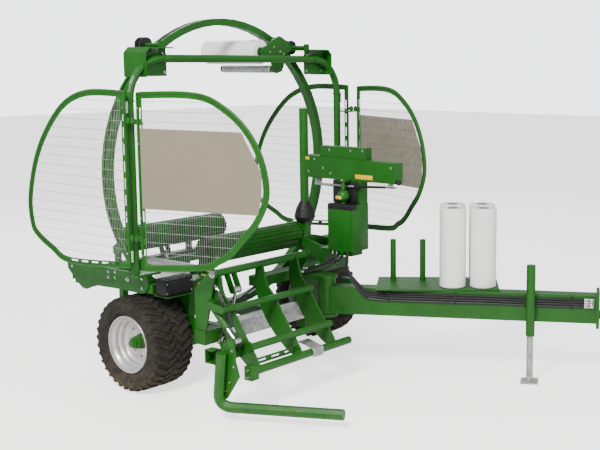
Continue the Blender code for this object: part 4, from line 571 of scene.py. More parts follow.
def bolted(name, size, spots, axis, body="chassis"):
    """Bolt heads of one size at each spot, all facing along one axis, as one piece."""
    done(repeated(bolt_head(size), [facing(spot, axis) for spot in spots]), name, "zinc", body)


# Wheels
WHEEL_SIDE = 1.17
WHEEL_HEIGHT = 0.434
NUTS = 8
NUT_CIRCLE = 0.134
NUT_FACE = 0.0415
TYRE_HALF = 0.225
TREAD_BARS = 34
TREAD_LENGTH = 0.19
TREAD_SWEEP = radians(26)
TYRE_SECTION = (
    # radius, distance from the middle plane
    (0.2625, 0.0), (0.2625, 0.158), (0.267, 0.172), (0.272, 0.190),
    (0.281, 0.202), (0.290, 0.207), (0.293, 0.213),
    (0.300, 0.215), (0.318, 0.2215), (0.322, 0.2248), (0.330, 0.2248), (0.334, 0.2215), (0.356, 0.2235),
    (0.376, 0.219), (0.394, 0.210), (0.405, 0.196), (0.412, 0.176),
    (0.416, 0.15), (0.4195, 0.08), (0.420, 0.0),
)
TREAD_SECTION = (
    (-0.088, -0.036), (0.078, -0.060), (0.0925, -0.044), (0.0905, -0.030),
    (0.080, -0.0145), (0.055, -0.006), (0.0, -0.002),
    (-0.088, -0.001),
)
CENTRE_SECTION = ((-0.032, -0.03), (0.032, -0.03), (0.032, -0.001), (-0.032, -0.001))
RIM_SECTION = (
    # radius, distance outwards from the middle plane
    (0.262, -0.170), (0.262, -0.150), (0.240, -0.140), (0.236, 0.100),
    (0.241, 0.128), (0.256, 0.146), (0.2615, 0.166),
    (0.2615, 0.190), (0.257, 0.197), (0.251, 0.194), (0.249, 0.176),
    (0.243, 0.162), (0.231, 0.153), (0.226, 0.142),
    (0.224, 0.112), (0.212, 0.104), (0.206, 0.092), (0.204, 0.062),
    (0.194, 0.050), (0.180, 0.044), (0.150, 0.038),
    (0.120, 0.044), (0.104, 0.040), (0.069, 0.036), (0.069, 0.028),
    (0.150, 0.028), (0.196, 0.036), (0.214, 0.052),
    (0.216, 0.084), (0.228, 0.096), (0.229, -0.135), (0.250, -0.160), (0.252, -0.170),
)
HUB_SECTION = (
    (0.0, 0.142), (0.032, 0.142), (0.042, 0.138), (0.046, 0.130),
    (0.046, 0.106), (0.058, 0.100), (0.060, 0.060),
    (0.0685, 0.052), (0.0685, -0.062), (0.037, -0.062), (0.037, 0.10), (0.0, 0.10),
)


class WRAPPER_OT_wheels(bpy.types.Operator):
    """Model the tyres, the dished rims, their nuts and the hubs"""

    bl_idname = "wrapper.wheels"
    bl_label = "Wheels"

    def execute(self, context):
        for side, name in SIDES.items():
            centre = Vector((0, side * WHEEL_SIDE, WHEEL_HEIGHT))
            outward = side * Y_AXIS
            section = TYRE_SECTION + tuple((r, -a) for r, a in TYRE_SECTION[-2:0:-1])
            carcass = turned(section, 96, centre, outward)
            tread = []
            for section, thickness, from_edge, sweep in (
                (TREAD_SECTION, 0.031, TREAD_LENGTH / 2, TREAD_SWEEP),
                (CENTRE_SECTION, 0.034, TYRE_HALF - 0.03, -TREAD_SWEEP),
            ):
                lug = sheet(section, thickness, frame_at(-SHIFT, Y_AXIS, Z_AXIS), edge=0.004)
                places = []
                for row in (-1, 1):
                    for number in range(TREAD_BARS):
                        turn = FULL_TURN * (number + (0.5 if row > 0 else 0)) / TREAD_BARS
                        places.append(
                            Matrix.Translation(centre)
                            @ Matrix.Rotation(turn, 4, "Y")
                            @ Matrix.Translation((0, row * (TYRE_HALF - from_edge), WHEEL_HEIGHT))
                            @ Matrix.Rotation(row * sweep, 4, "Z")
                            @ Matrix.Scale(row, 4, Y_AXIS)
                        )
                tread.append(repeated(lug, places))
            body = f"wheel_{name}"
            tyre = done([carcass, *tread], f"wheel_tyre_{name}", "tyre_rubber", body)
            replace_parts(tyre, f"tyre_{name}")
            rim = turned(RIM_SECTION, 96, centre, outward)
            rim = done(rim, f"wheel_disc_{name}", "silver_paint", body)
            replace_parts(rim, f"wheel_rim_{name}")
            done(turned(HUB_SECTION, 48, centre, outward), f"wheel_hub_{name}", "green_paint", body)
            spots = []
            for number in range(NUTS):
                turn = FULL_TURN * number / NUTS
                spots.append(centre + NUT_FACE * outward + NUT_CIRCLE * Vector((cos(turn), 0, sin(turn))))
            bolted(f"wheel_nuts_{name}", 0.012, spots, outward, body)
        return {"FINISHED"}


# Guards
GUARD_OFFSET = 1.465
GUARD_GAP = 0.05
HINGE_LEVELS = (1.42, 2.42)
HINGE_EYE = ((0.0115, 0), (0.019, 0), (0.020, 0.003), (0.020, 0.037), (0.019, 0.04), (0.0115, 0.04))
GUARD_BOLT_LEVELS = (1.30, 1.62, 2.25, 2.55)
MESH_FROM, MESH_TO = 1.16, 2.68
MESH_REACH = 1.5
FLANGE = 0.045
SLOT_PITCH = 0.145
SLOT_HALF = (0.048, 0.0075)
GUARD_LINES = {
    "front": (
        (0.0, 2.67), (0.42, 2.68), (0.67, 2.65), (0.85, 2.56), (1.00, 2.44), (1.12, 2.28), (1.20, 2.08),
        (1.22, 1.85), (1.13, 1.64), (1.00, 1.49), (0.87, 1.35), (0.75, 1.28), (0.60, 1.22), (0.0, 1.17),
    ),
    "rear": (
        (0.0, 2.68), (0.50, 2.68), (0.84, 2.57), (1.12, 2.32), (1.31, 2.03), (1.42, 1.68),
        (1.40, 1.43), (1.32, 1.33), (1.10, 1.22), (0.83, 1.13), (0.0, 1.18),
    ),
}
GUARD_HINGES = {"front": 0.318, "rear": 0.262}
GUARD_TURNS = {
    ("front", RIGHT): radians(15), ("front", LEFT): radians(-18.5), ("rear", RIGHT): pi, ("rear", LEFT): pi,
}


def inset(outline, distance):
    """The outline moved inwards by a distance, for one that runs clockwise."""
    moved = []
    for n, spot in enumerate(outline):
        point = Vector(spot)
        before = (point - Vector(outline[n - 1])).normalized()
        after = (Vector(outline[(n + 1) % len(outline)]) - point).normalized()
        across = Vector((before.y + after.y, -before.x - after.x))
        moved.append(tuple(point + across * distance / (1 + before.dot(after))))
    return moved


def slot_holes(outline):
    """Long holes at an even pitch along the middle of the flange."""
    middle = inset(outline, FLANGE * 0.55)
    holes, carried = [], 0.0
    for n, start in enumerate(middle):
        start = Vector(start)
        run = Vector(middle[(n + 1) % len(middle)]) - start
        heading = run.normalized()
        side = Vector((-heading.y, heading.x))
        reach = SLOT_PITCH / 2 - carried
        while reach + SLOT_HALF[0] < run.length:
            if reach > SLOT_HALF[0] * 0.8:
                hub = start + heading * reach
                ring = []
                for corner in range(10):
                    turn = FULL_TURN * corner / 10
                    end = 1 if cos(turn) > 0 else -1
                    shift_along = heading * (end * (SLOT_HALF[0] - SLOT_HALF[1]) + cos(turn) * SLOT_HALF[1])
                    ring.append(tuple(hub + shift_along + side * sin(turn) * SLOT_HALF[1]))
                holes.append(ring)
            reach += SLOT_PITCH
        carried = (carried + run.length) % SLOT_PITCH
    return holes


def reach_at(outline, value, axis):
    """Where an outline is crossed by a level or an upright line."""
    cuts = []
    for n, start in enumerate(outline):
        end = outline[(n + 1) % len(outline)]
        if (start[axis] - value) * (end[axis] - value) < 0:
            share = (value - start[axis]) / (end[axis] - start[axis])
            cuts.append(start[1 - axis] + (end[1 - axis] - start[1 - axis]) * share)
    return (min(cuts), max(cuts)) if cuts else None


def guard_mesh(outline, place):
    """The welded mesh: a level wire at each pitch and fine upright wires."""
    edge = inset(outline, FLANGE - 0.006)
    size = bpy.context.scene.wrapper_sizes
    level_paths, upright_paths = [], []
    value = MESH_FROM
    while value < MESH_TO:
        ends = reach_at(edge, value, 1)
        if ends:
            level_paths.append([(ends[0], value, 0), (ends[1], value, 0)])
        value += size.mesh_pitch
    value = GUARD_GAP + size.mesh_columns
    while value < MESH_REACH:
        ends = reach_at(edge, value, 0)
        if ends:
            lift = size.wire_radius * 1.4
            upright_paths.append([(value, ends[0], lift), (value, ends[1], lift)])
        value += size.mesh_columns
    levels = pipes(level_paths, size.wire_radius, detail=1, place=place)
    uprights = pipes(upright_paths, size.wire_radius * 0.6, detail=0, place=place)
    return joined([levels, uprights])


class WRAPPER_OT_guards(bpy.types.Operator):
    """Model the four mesh guards with slotted flanges and hinge eyes"""

    bl_idname = "wrapper.guards"
    bl_label = "Guards"

    def execute(self, context):
        for (row, side), turn in GUARD_TURNS.items():
            label = f"{row}_guard_{SIDES[side]}"
            x, y = GUARD_HINGES[row], side * GUARD_OFFSET
            along = heading_at(turn)
            place = frame_at((x, y, 0), along, Z_AXIS)
            raw = [(s + GUARD_GAP, z, 0) for s, z in GUARD_LINES[row]]
            line = [tuple(point[:2]) for point in loft(raw, 6)]
            tube = pipes([[(s, z, 0) for s, z in line]], 0.014, closed=True, detail=3, place=place)
            flange = sheet(line, 0.004, place, [inset(line, FLANGE)] + slot_holes(line), edge=0)
            parts = [tube, flange]
            for level in HINGE_LEVELS:
                parts.append(turned(HINGE_EYE, 24, (x, y, level + 0.0003), Z_AXIS))
                low, high = (0.015, level + 0.006, -0.005), (GUARD_GAP, level + 0.035, 0.005)
                parts.append(block(low, high, 0.002, place))
            frame_piece = done(parts, f"{label}_frame", "green_paint", label)
            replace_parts(frame_piece, label)
            done(guard_mesh(line, place), f"{label}_mesh", "galvanised", label)
            spots = [place @ Vector((GUARD_GAP + 0.012, z, 0)) for z in GUARD_BOLT_LEVELS]
            outward = side * Y_AXIS
            bolted(f"{label}_bolts", 0.008, [s + outward * 0.014 for s in spots], outward, label)
        return {"FINISHED"}


# Film rolls
ROLL_SECTION_STEPS = 36
ROLL_CORE = 0.0425
CARD = 0.006
END_CAP = ((0.0, 0.0), (0.030, 0.0), (0.034, -0.004), (0.041, -0.006), (0.041, -0.03), (0.0, -0.03))
STRETCH_CIRCLE = 1.074
STRETCH_TURN = radians(29.6)


def roll_section(length, radius):
    """Wound film with soft ends; the turns step in and out by a hair."""
    half = length / 2
    edge = radius * 0.12
    outline = [(ROLL_CORE + CARD, -half + 0.002)]
    for n in range(5):
        turn = radians(90 * n / 4)
        outline.append((radius - edge + edge * sin(turn), -half + edge - edge * cos(turn)))
    for n in range(1, ROLL_SECTION_STEPS):
        along = -half + edge + (length - 2 * edge) * n / ROLL_SECTION_STEPS
        outline.append((radius - 0.0016 * (n % 2) - 0.0009 * ((n * 7) % 5) / 4, along))
    for n in range(5):
        turn = radians(90 * n / 4)
        outline.append((radius - edge + edge * cos(turn), half - edge + edge * sin(turn)))
    outline.append((ROLL_CORE + CARD, half - 0.002))
    return outline


def film_roll(name, node, centre, axis, length, radius, body):
    film = turned(roll_section(length, radius), 64, centre, axis)
    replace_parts(done(film, name, "white_film", body), node)
    half = length / 2
    tube = ((ROLL_CORE, -half), (ROLL_CORE + CARD, -half), (ROLL_CORE + CARD, half), (ROLL_CORE, half))
    done(turned(tube, 48, centre, axis), f"{name}_core", "card", body)


class WRAPPER_OT_film_rolls(bpy.types.Operator):
    """Model the film rolls on the ring and on the rack, with their cores"""

    bl_idname = "wrapper.film_rolls"
    bl_label = "Film rolls"

    def execute(self, context):
        for number in (1, 2):
            node = f"dispenser_film_roll_{number}"
            low, high = node_box(node)
            centre, size = (low + high) / 2, high - low
            film_roll(f"ring_film_{number}", node, centre, X_AXIS, size.x, size.y / 2, "ring")
            for end, word in ((-1, "aft"), (1, "fore")):
                tip = centre + X_AXIS * end * (size.x / 2 + 0.001)
                cap = turned(END_CAP, 40, tip, end * X_AXIS)
                done(cap, f"ring_film_{number}_cap_{word}", "black_plastic", "ring")
            lean = STRETCH_TURN + pi * (number - 1)
            spot = Vector((-0.335, STRETCH_CIRCLE * sin(lean), RING_CENTRE.z + STRETCH_CIRCLE * cos(lean)))
            sleeve = ((0.0353, -0.34), (0.0375, -0.335), (0.0375, 0.335), (0.0353, 0.34))
            done(turned(sleeve, 40, spot, X_AXIS), f"stretch_sleeve_{number}", "galvanised", "ring")
        for number in range(1, 5):
            node = f"spare_film_roll_{number}"
            low, high = node_box(node)
            centre, size = (low + high) / 2, high - low
            film_roll(f"rack_film_{number}", node, centre, Z_AXIS, size.z, size.x / 2, "drawbar")
        return {"FINISHED"}


# Fastenings and trim on the chassis
END_PLATE_BOLTS = ((0.514, 3.080), (0.603, 3.034), (0.459, 3.028), (0.653, 3.011))
CORNER_BOLTS = ((0.95, 3.00), (1.13, 2.95), (0.93, 2.84), (1.16, 2.84))
SIDE_BOLTS = (
    (-0.363, 1.038), (-0.268, 1.046), (-0.365, 0.987), (-0.271, 0.994),
    (0.10, 1.03), (0.10, 0.94), (-0.90, 1.03),
)
SIDE_FACE = 1.256
FOOT_MIDDLE = 1.32
SIDE_PIN = (
    # radius, distance outwards
    (0.0, 0.022), (0.010, 0.022), (0.012, 0.019), (0.012, 0.008),
    (0.021, 0.006), (0.021, -0.002), (0.0, -0.002),
)
ARCH_SEAM = ((0.0372, -0.009), (0.0425, -0.009), (0.0435, 0.0), (0.0425, 0.009), (0.0372, 0.009))


class WRAPPER_OT_fastenings(bpy.types.Operator):
    """Add the bolts of the side plates, brackets, beams and dispensers"""

    bl_idname = "wrapper.fastenings"
    bl_label = "Fastenings"

    def execute(self, context):
        plate_x = node_box("film_dispenser_1")[1].x
        for number, turn in ((1, 0.0), (2, pi)):
            spin = Matrix.Rotation(turn, 4, "X")
            spots = []
            for y, z in END_PLATE_BOLTS:
                spots.append(Vector((plate_x, 0, RING_CENTRE.z)) + spin @ Vector((0, y, z - RING_CENTRE.z)))
            bolted(f"dispenser_bolts_{number}", 0.009, spots, X_AXIS, "ring")
        for side, name in SIDES.items():
            face = side * SIDE_FACE
            outward = side * Y_AXIS
            spots = [(x, face, z) for x, z in SIDE_BOLTS]
            bolted(f"side_plate_bolts_{name}", 0.011, spots, outward)
            pin = turned(SIDE_PIN, 32, (-0.092, face, 1.001), outward)
            done(pin, f"side_plate_pin_{name}", "zinc")
            foot = side * FOOT_MIDDLE
            spots = [(0.15 + dx, foot + dy * side, 1.0905) for dx in (-0.052, 0.052) for dy in (-0.05, 0.0)]
            bolted(f"arch_foot_bolts_{name}", 0.011, spots, Z_AXIS)
            spots = [(0.107, side * y, z) for y, z in CORNER_BOLTS]
            bolted(f"corner_bolts_{name}", 0.010, spots, X_AXIS)
            marks = []
            for low_z in (2.50, 1.206):
                inner, outer = sorted((side * 1.3975, side * 1.4015))
                marks.append(block((0.120, inner, low_z), (0.176, outer, low_z + 0.10), 0.0015))
            done(marks, f"post_reflectors_{name}", "reflector")
            seams = []
            for y, z, axis in ((side * 1.0, 2.96, Y_AXIS), (side * 1.36, 2.60, Z_AXIS)):
                seams.append(turned(ARCH_SEAM, 40, (0.15, y, z), axis))
            done(seams, f"arch_seams_{name}", "green_paint")
        spots = [(0.7602, y, z) for y in (-0.80, -0.12) for z in (0.53, 0.59)]
        bolted("front_beam_bolts", 0.012, spots, X_AXIS)
        return {"FINISHED"}


# Boxes
CASE_RIBS = 11
BEAM_KNOB = ((0, 0.05), (0.018, 0.048), (0.025, 0.038), (0.023, 0.02), (0.012, 0.008), (0.012, 0), (0, 0))
BEAM_BOLTS = (
    (0.555, 0.54, 1.984), (0.665, 0.54, 1.904), (0.762, 0.54, 1.856), (0.475, 0.54, 1.861),
    (1.50, 0.54, 1.95), (0.738, 0.555, 2.085), (1.005, 0.555, 2.087), (1.15, 0.555, 2.09),
)


class WRAPPER_OT_boxes(bpy.types.Operator):
    """Model the ribbed black box, the housing's door, strut, knobs and blank plates"""

    bl_idname = "wrapper.boxes"
    bl_label = "Boxes"

    def execute(self, context):
        low, high = node_box("control_box")
        parts = [block(low, (high.x, high.y, high.z - 0.022), 0.008)]
        parts.append(block((low.x, low.y, high.z - 0.021), (high.x, high.y, high.z - 0.008), 0.004))
        for n in range(CASE_RIBS):
            y = low.y + 0.016 + (high.y - low.y - 0.032) * n / (CASE_RIBS - 1)
            foot = (low.x + 0.012, y - 0.006, high.z - 0.010)
            parts.append(block(foot, (high.x - 0.012, y + 0.006, high.z), 0.0025))
        box = done(parts, "control_case", "black_plastic")
        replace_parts(box, "control_box")
        heights = (low.z + 0.02, high.z - 0.045)
        spots = [(high.x, y, z) for y in (low.y + 0.02, high.y - 0.02) for z in heights]
        bolted("control_case_screws", 0.006, spots, X_AXIS)
        door = block((0.865, 0.3985, 1.16), (1.115, 0.4025, 1.55), 0.0012)
        front = block((1.1385, 0.42, 1.16), (1.1425, 0.63, 1.55), 0.0012)
        done(joined([door, front]), "housing_doors", "green_paint")
        # Painted shade: thin black sheets along the top of the housing's door and in the gap under the beam
        # stand in for the shade of the housing's recess.
        painted_shade_sheets = [
            block((0.842, 0.3975, 1.532), (1.1425, 0.3995, 1.584), 0.0008),
            block((1.1405, 0.3985, 1.532), (1.1425, 0.475, 1.584), 0.0008),
            block((0.846, 0.40, 1.5805), (1.139, 0.535, 1.584), 0.001),
            block((0.80, 0.525, 1.5815), (1.10, 0.5385, 1.796), 0.004),
        ]
        done(painted_shade_sheets, "housing_painted_shade", "black_plastic")
        rod = bar((0.60, 0.50, 1.748), (1.10, 0.50, 1.752), 0.0125)
        done(rod, "cutter_strut_rod", "polished_steel")
        barrel = [
            bar((1.10, 0.50, 1.752), (1.15, 0.50, 1.755), 0.020),
            bar((1.14, 0.50, 1.754), (1.47, 0.50, 1.771), 0.012),
        ]
        done(barrel, "cutter_strut_barrel", "black_plastic")
        lugs = [
            bar((1.47, 0.50, 1.771), (1.59, 0.50, 1.772), 0.009),
            block((1.50, 0.49, 1.772), (1.52, 0.56, 1.802), 0.002),
            block((0.60, 0.49, 1.735), (0.63, 0.56, 1.802), 0.003),
        ]
        done(lugs, "cutter_strut_ends", "zinc")
        tags = [
            block((1.073, 0.5365, 1.822), (1.286, 0.5395, 1.864), 0.001),
            block((0.437, 0.5365, 1.974), (0.487, 0.5395, 2.004), 0.001),
            block((0.945, 0.3965, 1.634), (1.015, 0.3985, 1.664), 0.001),
        ]
        done(tags, "beam_tags", "yellow_tag")
        bolted("beam_bolts", 0.0095, BEAM_BOLTS, -Y_AXIS)
        done(turned(BEAM_KNOB, 32, (1.55, 0.56, 1.815), X_AXIS), "beam_knob", "black_plastic")
        neck = [
            bar((0.99, 0.46, 1.715), (0.99, 0.46, 1.797), 0.016),
            bar((0.99, 0.46, 1.724), (0.99, 0.46, 1.745), 0.024, 6),
            block((0.955, 0.435, 1.796), (1.025, 0.5395, 1.806), 0.002),
        ]
        done(neck, "pressure_ball_neck", "green_paint")
        low, high = node_box("accumulator")
        middle = (low + high) / 2
        radius = (high.x - low.x) / 2
        foot, crown = low.z, high.z
        centre_z = crown - radius
        outline = [(0.0, foot), (0.022, foot), (0.022, foot + 0.02), (0.016, foot + 0.024)]
        for n in range(2, 17):
            turn = -pi / 2 + pi * n / 16
            outline.append((radius * cos(turn) + 0.0004, centre_z + radius * sin(turn)))
        outline[-1] = (0.0, crown)
        ball = turned(outline, 48, (middle.x, middle.y, 0), Z_AXIS)
        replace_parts(done(ball, "pressure_ball", "green_paint"), "accumulator")
        return {"FINISHED"}


# Hoses
HOSE_RUNS = (
    # name, body, radius, points
    ("arm_hoses", "cradle", 0.0085, (
        (
            (0.91, -1.14, 1.05), (0.98, -1.16, 0.98), (1.03, -1.165, 0.88),
            (1.06, -1.155, 0.78), (1.10, -1.15, 0.70),
        ),
        (
            (0.93, -1.14, 1.04), (1.00, -1.15, 0.96), (1.06, -1.155, 0.86),
            (1.10, -1.15, 0.76), (1.14, -1.145, 0.68),
        ),
    )),
    ("lift_hoses", "chassis", 0.0085, (
        (
            (0.80, -1.02, 0.50), (0.84, -0.96, 0.66), (0.83, -0.80, 0.84),
            (0.80, -0.62, 0.90), (0.77, -0.46, 0.94),
        ),
        (
            (0.80, -0.98, 0.52), (0.86, -0.92, 0.68), (0.85, -0.76, 0.86),
            (0.82, -0.60, 0.93), (0.77, -0.44, 0.97),
        ),
    )),
    ("valve_hoses", "chassis", 0.0095, (
        (
            (0.88, 0.43, 1.135), (0.88, 0.41, 1.07), (0.86, 0.33, 1.01),
            (0.82, 0.22, 0.985), (0.765, 0.12, 0.975),
        ),
        (
            (0.93, 0.43, 1.135), (0.94, 0.40, 1.06), (0.93, 0.30, 0.99),
            (0.87, 0.17, 0.965), (0.765, 0.06, 0.955),
        ),
        (
            (0.97, 0.44, 1.135), (0.97, 0.46, 1.06), (0.92, 0.40, 1.02),
            (0.85, 0.34, 1.00), (0.765, 0.30, 0.975),
        ),
        (
            (0.90, 0.50, 1.135), (0.89, 0.50, 1.07), (0.86, 0.46, 1.03),
            (0.82, 0.42, 1.00), (0.765, 0.40, 0.97),
        ),
        (
            (0.86, 0.56, 1.135), (0.86, 0.58, 1.06), (0.84, 0.58, 1.01),
            (0.81, 0.58, 0.98), (0.765, 0.58, 0.96),
        ),
    )),
)
FEED_TURN = radians(27)
FEED_ALONG = heading_at(FEED_TURN)
FEED_START = Vector((0.95, 0.25, 0)) + 0.0925 * heading_at(FEED_TURN - pi / 2)
FEED_RADIUS = 0.0095
CLIP_HEIGHT = 0.751
FEED_HOSES = (
    # height on the drawbar, step at the housing
    (0.785, 0.0), (0.762, 0.03), (0.739, 0.06), (0.716, 0.09),
)


def feed_path(level, drop):
    """From the housing's underside down to the drawbar's right side and along it to the couplings."""
    start = Vector((1.03 + drop, 0.45 - drop, 1.135))
    path = [start, start + Vector((0.01, -0.01, -0.07)), start + Vector((0.05, -0.05, -0.17))]
    for reach, rise in ((0.36, 0.05), (0.50, 0.0), (1.0, -0.004), (1.6, 0.0), (2.1, -0.004), (2.44, 0.0)):
        path.append(FEED_START + FEED_ALONG * reach + Z_AXIS * (level + rise))
    return loft(path, 8)


class WRAPPER_OT_hoses(bpy.types.Operator):
    """Lay the hydraulic hoses that are held from end to end"""

    bl_idname = "wrapper.hoses"
    bl_label = "Hoses"

    def execute(self, context):
        for name, body, radius, runs in HOSE_RUNS:
            paths = [loft(run, 10) for run in runs]
            done(pipes(paths, radius), name, "hose", body)
            ends = []
            for path in paths:
                for tip, after in ((path[0], path[1]), (path[-1], path[-2])):
                    heading = (after - tip).normalized()
                    ends.append(bar(tip - heading * 0.004, tip + heading * 0.045, radius * 1.35, 6, 0.0015))
            done(ends, f"{name}_fittings", "zinc", body)
        paths = [feed_path(level, drop) for level, drop in FEED_HOSES]
        feed = done(pipes(paths, FEED_RADIUS), "feed_hoses", "hose", None)
        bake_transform(feed)
        ends = []
        for path in paths:
            heading = (path[-1] - path[-2]).normalized()
            ends.append(bar(path[-1] - heading * 0.005, path[-1] + heading * 0.055, 0.0135, 6, 0.0015))
            ends.append(bar(path[-1] + heading * 0.05, path[-1] + heading * 0.085, 0.011, 20, 0.0015))
        done(ends, "feed_couplings", "zinc", "drawbar")
        clips = []
        for reach in (0.62, 1.25, 1.9, 2.32):
            place = frame_at(FEED_START + FEED_ALONG * reach + Z_AXIS * CLIP_HEIGHT, FEED_ALONG, Z_AXIS)
            clips.append(block((-0.012, -0.052, -0.0115), (0.012, 0.052, 0.0115), 0.003, place))
        done(clips, "feed_clips", "black_plastic", "drawbar")
        return {"FINISHED"}


# Rack and pegs
RACK_TURN = radians(35.2)
FIRST_PEG = (1.36, 0.76)
PEG_PITCH = 0.286
BARE_PEGS = 2


class WRAPPER_OT_rack(bpy.types.Operator):
    """Cap the rack's bare pegs"""

    bl_idname = "wrapper.rack"
    bl_label = "Rack"

    def execute(self, context):
        top = node_box("film_rack")[1].z
        caps = []
        for number in range(BARE_PEGS):
            spot = Vector((*FIRST_PEG, top)) + heading_at(RACK_TURN) * number * PEG_PITCH
            cap = ((0.0, 0.0), (0.018, 0.0), (0.0235, -0.004), (0.0235, -0.04), (0.0, -0.04))
            caps.append(turned(cap, 28, spot, Z_AXIS))
        done(caps, "rack_peg_caps", "black_plastic", "drawbar")
        return {"FINISHED"}


# Cradle and arm trim
STRAP_LINE = ((1.19, 0.452), (1.27, 0.437), (1.34, 0.417), (1.366, 0.410), (1.3765, 0.398), (1.3765, 0.335))
TRAY_LINE = ((0.165, 1.02), (0.172, 0.965), (0.20, 0.915), (0.25, 0.8905), (0.42, 0.8905))
PIN_NUT = ((0, 0.032), (0.012, 0.032), (0.019, 0.028), (0.020, 0.010), (0.034, 0.008), (0.034, 0), (0, 0))


def strip(line, thickness, low, high):
    """A bent strip: a line of (x, height) points given a thickness, between two planes across."""
    upper = [Vector(spot) for spot in line]
    lower = []
    for n, spot in enumerate(upper):
        heading = (upper[min(n + 1, len(upper) - 1)] - upper[max(n - 1, 0)]).normalized()
        lower.append(spot + Vector((heading.y, -heading.x)) * thickness)
    outline = [tuple(spot) for spot in upper + lower[::-1]]
    return sheet(outline, high - low, frame_at((0, (low + high) / 2, 0), X_AXIS, Z_AXIS))


class WRAPPER_OT_trim(bpy.types.Operator):
    """Add the cradle's strap and slotted plate, the arm's brackets and the grease fittings"""

    bl_idname = "wrapper.trim"
    bl_label = "Trim"

    def execute(self, context):
        done(strip(STRAP_LINE, 0.005, -0.43, -0.29), "cradle_strap", "galvanised", "cradle")
        slots = []
        for y in (-0.98, -0.82, -0.66):
            left, right = y - 0.045, y + 0.045
            slots.append([(left, 0.425), (right, 0.425), (right, 0.439), (left, 0.439)])
        outline = [(-1.064, 0.404), (-0.572, 0.404), (-0.572, 0.458), (-1.064, 0.458)]
        plates = [sheet(outline, 0.006, frame_at((1.288, 0, 0), Y_AXIS, Z_AXIS), slots)]
        plates.append(block((1.33, -1.235, 0.325), (1.42, -1.145, 0.445), 0.006))
        done(plates, "cradle_slotted_plate", "green_paint", "cradle")
        spots = [(1.375, -1.2355, 0.355), (1.375, -1.2355, 0.415)]
        bolted("cradle_end_bolts", 0.011, spots, -Y_AXIS, "cradle")
        bracket = [
            block((1.105, -1.455, 0.485), (1.115, -1.37, 0.60), 0.002),
            block((1.105, -1.455, 0.590), (1.197, -1.37, 0.60), 0.002),
            block((1.105, -1.455, 0.485), (1.197, -1.37, 0.495), 0.002),
            block((1.105, -1.376, 0.485), (1.197, -1.366, 0.60), 0.002),
        ]
        done(bracket, "arm_bracket", "green_paint", "arm")
        spots = [(x, -1.3655, z) for x, z in ((1.33, 0.60), (1.345, 0.47), (1.29, 0.33), (1.25, 0.25))]
        bolted("arm_sheet_bolts", 0.009, spots, -Y_AXIS, "arm")
        done(turned(PIN_NUT, 32, (0.86, -1.1206, 1.14), -Y_AXIS), "cradle_pin_nut", "zinc")
        nipples = []
        for x, z in ((0.755, 1.117), (0.79, 1.163), (0.71, 1.035)):
            nipples.append(bar((x - 0.03, -1.111, z), (x + 0.05, -1.111, z - 0.012), 0.0075))
            nipples.append(bar((x - 0.036, -1.111, z + 0.001), (x - 0.022, -1.111, z), 0.012, 6, 0.001))
        done(nipples, "grease_fittings", "brass")
        done(strip(TRAY_LINE, 0.006, -1.235, -0.94), "control_case_tray", "green_paint")
        return {"FINISHED"}


# Stage
FLOOR_SIZE = 90
SKY_LIGHT, SKY_SEEN = 0.68, 3.4
FLOOR_SEEN = 1.5
LIGHT_AIM = (0.3, 0, 1.3)
LIGHTS = (
    # name, place, power, width, colour
    ("key_light", (4.5, -9.0, 9.0), 2400, 3.0, (1.0, 0.975, 0.93)),
    ("fill_light", (9.5, 2.0, 5.5), 350, 6.0, (0.93, 0.96, 1.0)),
    ("back_light", (-7.0, 6.0, 7.0), 500, 6.0, (0.95, 0.97, 1.0)),
)
CAMERA_PLACE = (7.359, -7.085, 2.929)
CAMERA_LENS = 62.03
CAMERA_SHIFT = (-0.2, -0.03)
CAMERA_TURN, CAMERA_RISE, CAMERA_ROLL = radians(35.90), radians(7.96), radians(0.08)


def seen_strength(tree, lighting, seen):
    """One strength for the light that a surface gives, another for how bright the studio itself looks."""
    return ramp(tree, add_node(tree, "LightPath").outputs["Is Camera Ray"], 0.0, 1.0, lighting, seen)


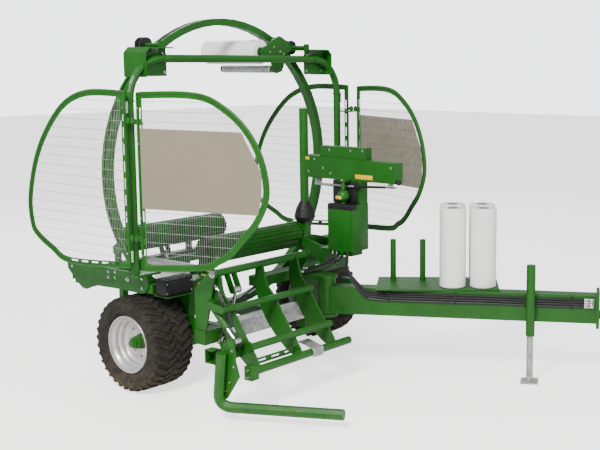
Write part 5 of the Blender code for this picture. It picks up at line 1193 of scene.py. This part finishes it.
class WRAPPER_OT_stage(bpy.types.Operator):
    """Lay the floor and set the lights and the camera"""

    bl_idname = "wrapper.stage"
    bl_label = "Stage"

    def execute(self, context):
        deselect()
        bpy.ops.mesh.primitive_plane_add(size=FLOOR_SIZE, location=(0, 0, -0.002))
        floor = context.object
        floor.name = "studio_floor"
        tint, tree, shader = new_finish("studio floor")
        tone = ramp(tree, noise(tree, 0.6, 3.0), 0.3, 0.7)
        shade = blend(tree, tone, (0.90, 0.90, 0.89), (0.94, 0.94, 0.93))
        glow = seen_strength(tree, 0.0, FLOOR_SEEN)
        set_inputs(shader, Base_Color=shade, Roughness=0.8)
        set_inputs(shader, Emission_Color=(1, 1, 1, 1), Emission_Strength=glow)
        floor.data.materials.append(tint)
        floor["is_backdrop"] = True
        world = bpy.data.worlds.new("studio")
        world.use_nodes = True
        sky = world.node_tree.nodes["Background"]
        brightness = seen_strength(world.node_tree, SKY_LIGHT, SKY_SEEN)
        set_inputs(sky, Color=(0.97, 0.98, 1.0, 1), Strength=brightness)
        context.scene.world = world
        for name, place, power, size, colour in LIGHTS:
            lamp = bpy.data.lights.new(name, "AREA")
            lamp.energy = power
            lamp.size = size
            lamp.color = colour
            holder = bpy.data.objects.new(name, lamp)
            holder.location = at(*place)
            aim = at(*LIGHT_AIM) - holder.location
            holder.rotation_euler = aim.to_track_quat("-Z", "Y").to_euler()
            context.scene.collection.objects.link(holder)
        camera_data = bpy.data.cameras.new("photo_camera")
        camera_data.sensor_width = 36
        camera_data.lens = CAMERA_LENS
        camera_data.shift_x, camera_data.shift_y = CAMERA_SHIFT
        camera_data.clip_end = 200
        camera = bpy.data.objects.new("photo_camera", camera_data)
        right = heading_at(CAMERA_TURN)
        back = cos(CAMERA_RISE) * heading_at(CAMERA_TURN - pi / 2) + sin(CAMERA_RISE) * Z_AXIS
        up = back.cross(right)
        tilted = cos(CAMERA_ROLL) * right + sin(CAMERA_ROLL) * up
        raised = cos(CAMERA_ROLL) * up - sin(CAMERA_ROLL) * right
        turned_to = Matrix((tilted, raised, back)).transposed().to_4x4()
        camera.matrix_world = Matrix.Translation(at(*CAMERA_PLACE)) @ turned_to
        context.scene.collection.objects.link(camera)
        context.scene.camera = camera
        return {"FINISHED"}


class WRAPPER_OT_finishes(bpy.types.Operator):
    """Give every carried-over node its finish"""

    bl_idname = "wrapper.finishes"
    bl_label = "Finishes"

    def execute(self, context):
        dress_nodes()
        return {"FINISHED"}


OPERATORS = (
    WRAPPER_OT_stage,
    WRAPPER_OT_finishes,
    WRAPPER_OT_wheels,
    WRAPPER_OT_guards,
    WRAPPER_OT_film_rolls,
    WRAPPER_OT_fastenings,
    WRAPPER_OT_boxes,
    WRAPPER_OT_hoses,
    WRAPPER_OT_rack,
    WRAPPER_OT_trim,
)


class WRAPPER_PT_panel(bpy.types.Panel):
    """Lists the wrapper's pieces"""

    bl_label = "Bale wrapper"
    bl_idname = "WRAPPER_PT_panel"
    bl_space_type = "VIEW_3D"
    bl_region_type = "UI"
    bl_category = "Wrapper"

    def draw(self, context):
        for operator in OPERATORS:
            self.layout.operator(operator.bl_idname)
        for group in (context.scene.wrapper_sizes, context.scene.wrapper_colours):
            for name in group.__annotations__:
                self.layout.prop(group, name)


CLASSES = (WrapperSizes, WrapperColours, *OPERATORS, WRAPPER_PT_panel)


def register():
    for entry in CLASSES:
        bpy.utils.register_class(entry)
    bpy.types.Scene.wrapper_sizes = bpy.props.PointerProperty(type=WrapperSizes)
    bpy.types.Scene.wrapper_colours = bpy.props.PointerProperty(type=WrapperColours)


def unregister():
    del bpy.types.Scene.wrapper_sizes
    del bpy.types.Scene.wrapper_colours
    for entry in reversed(CLASSES):
        bpy.utils.unregister_class(entry)


def main():
    register()
    for operator in OPERATORS:
        section, name = operator.bl_idname.split(".")
        result = getattr(getattr(bpy.ops, section), name)()
        if result != {"FINISHED"}:
            raise RuntimeError(operator.bl_idname + " did not finish")
    boxes = {"frame": FRAME_BOX, "visual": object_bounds()}
    boxes = {name: [list(map(float, corner)) for corner in box] for name, box in boxes.items()}


if __name__ == "__main__":
    main()
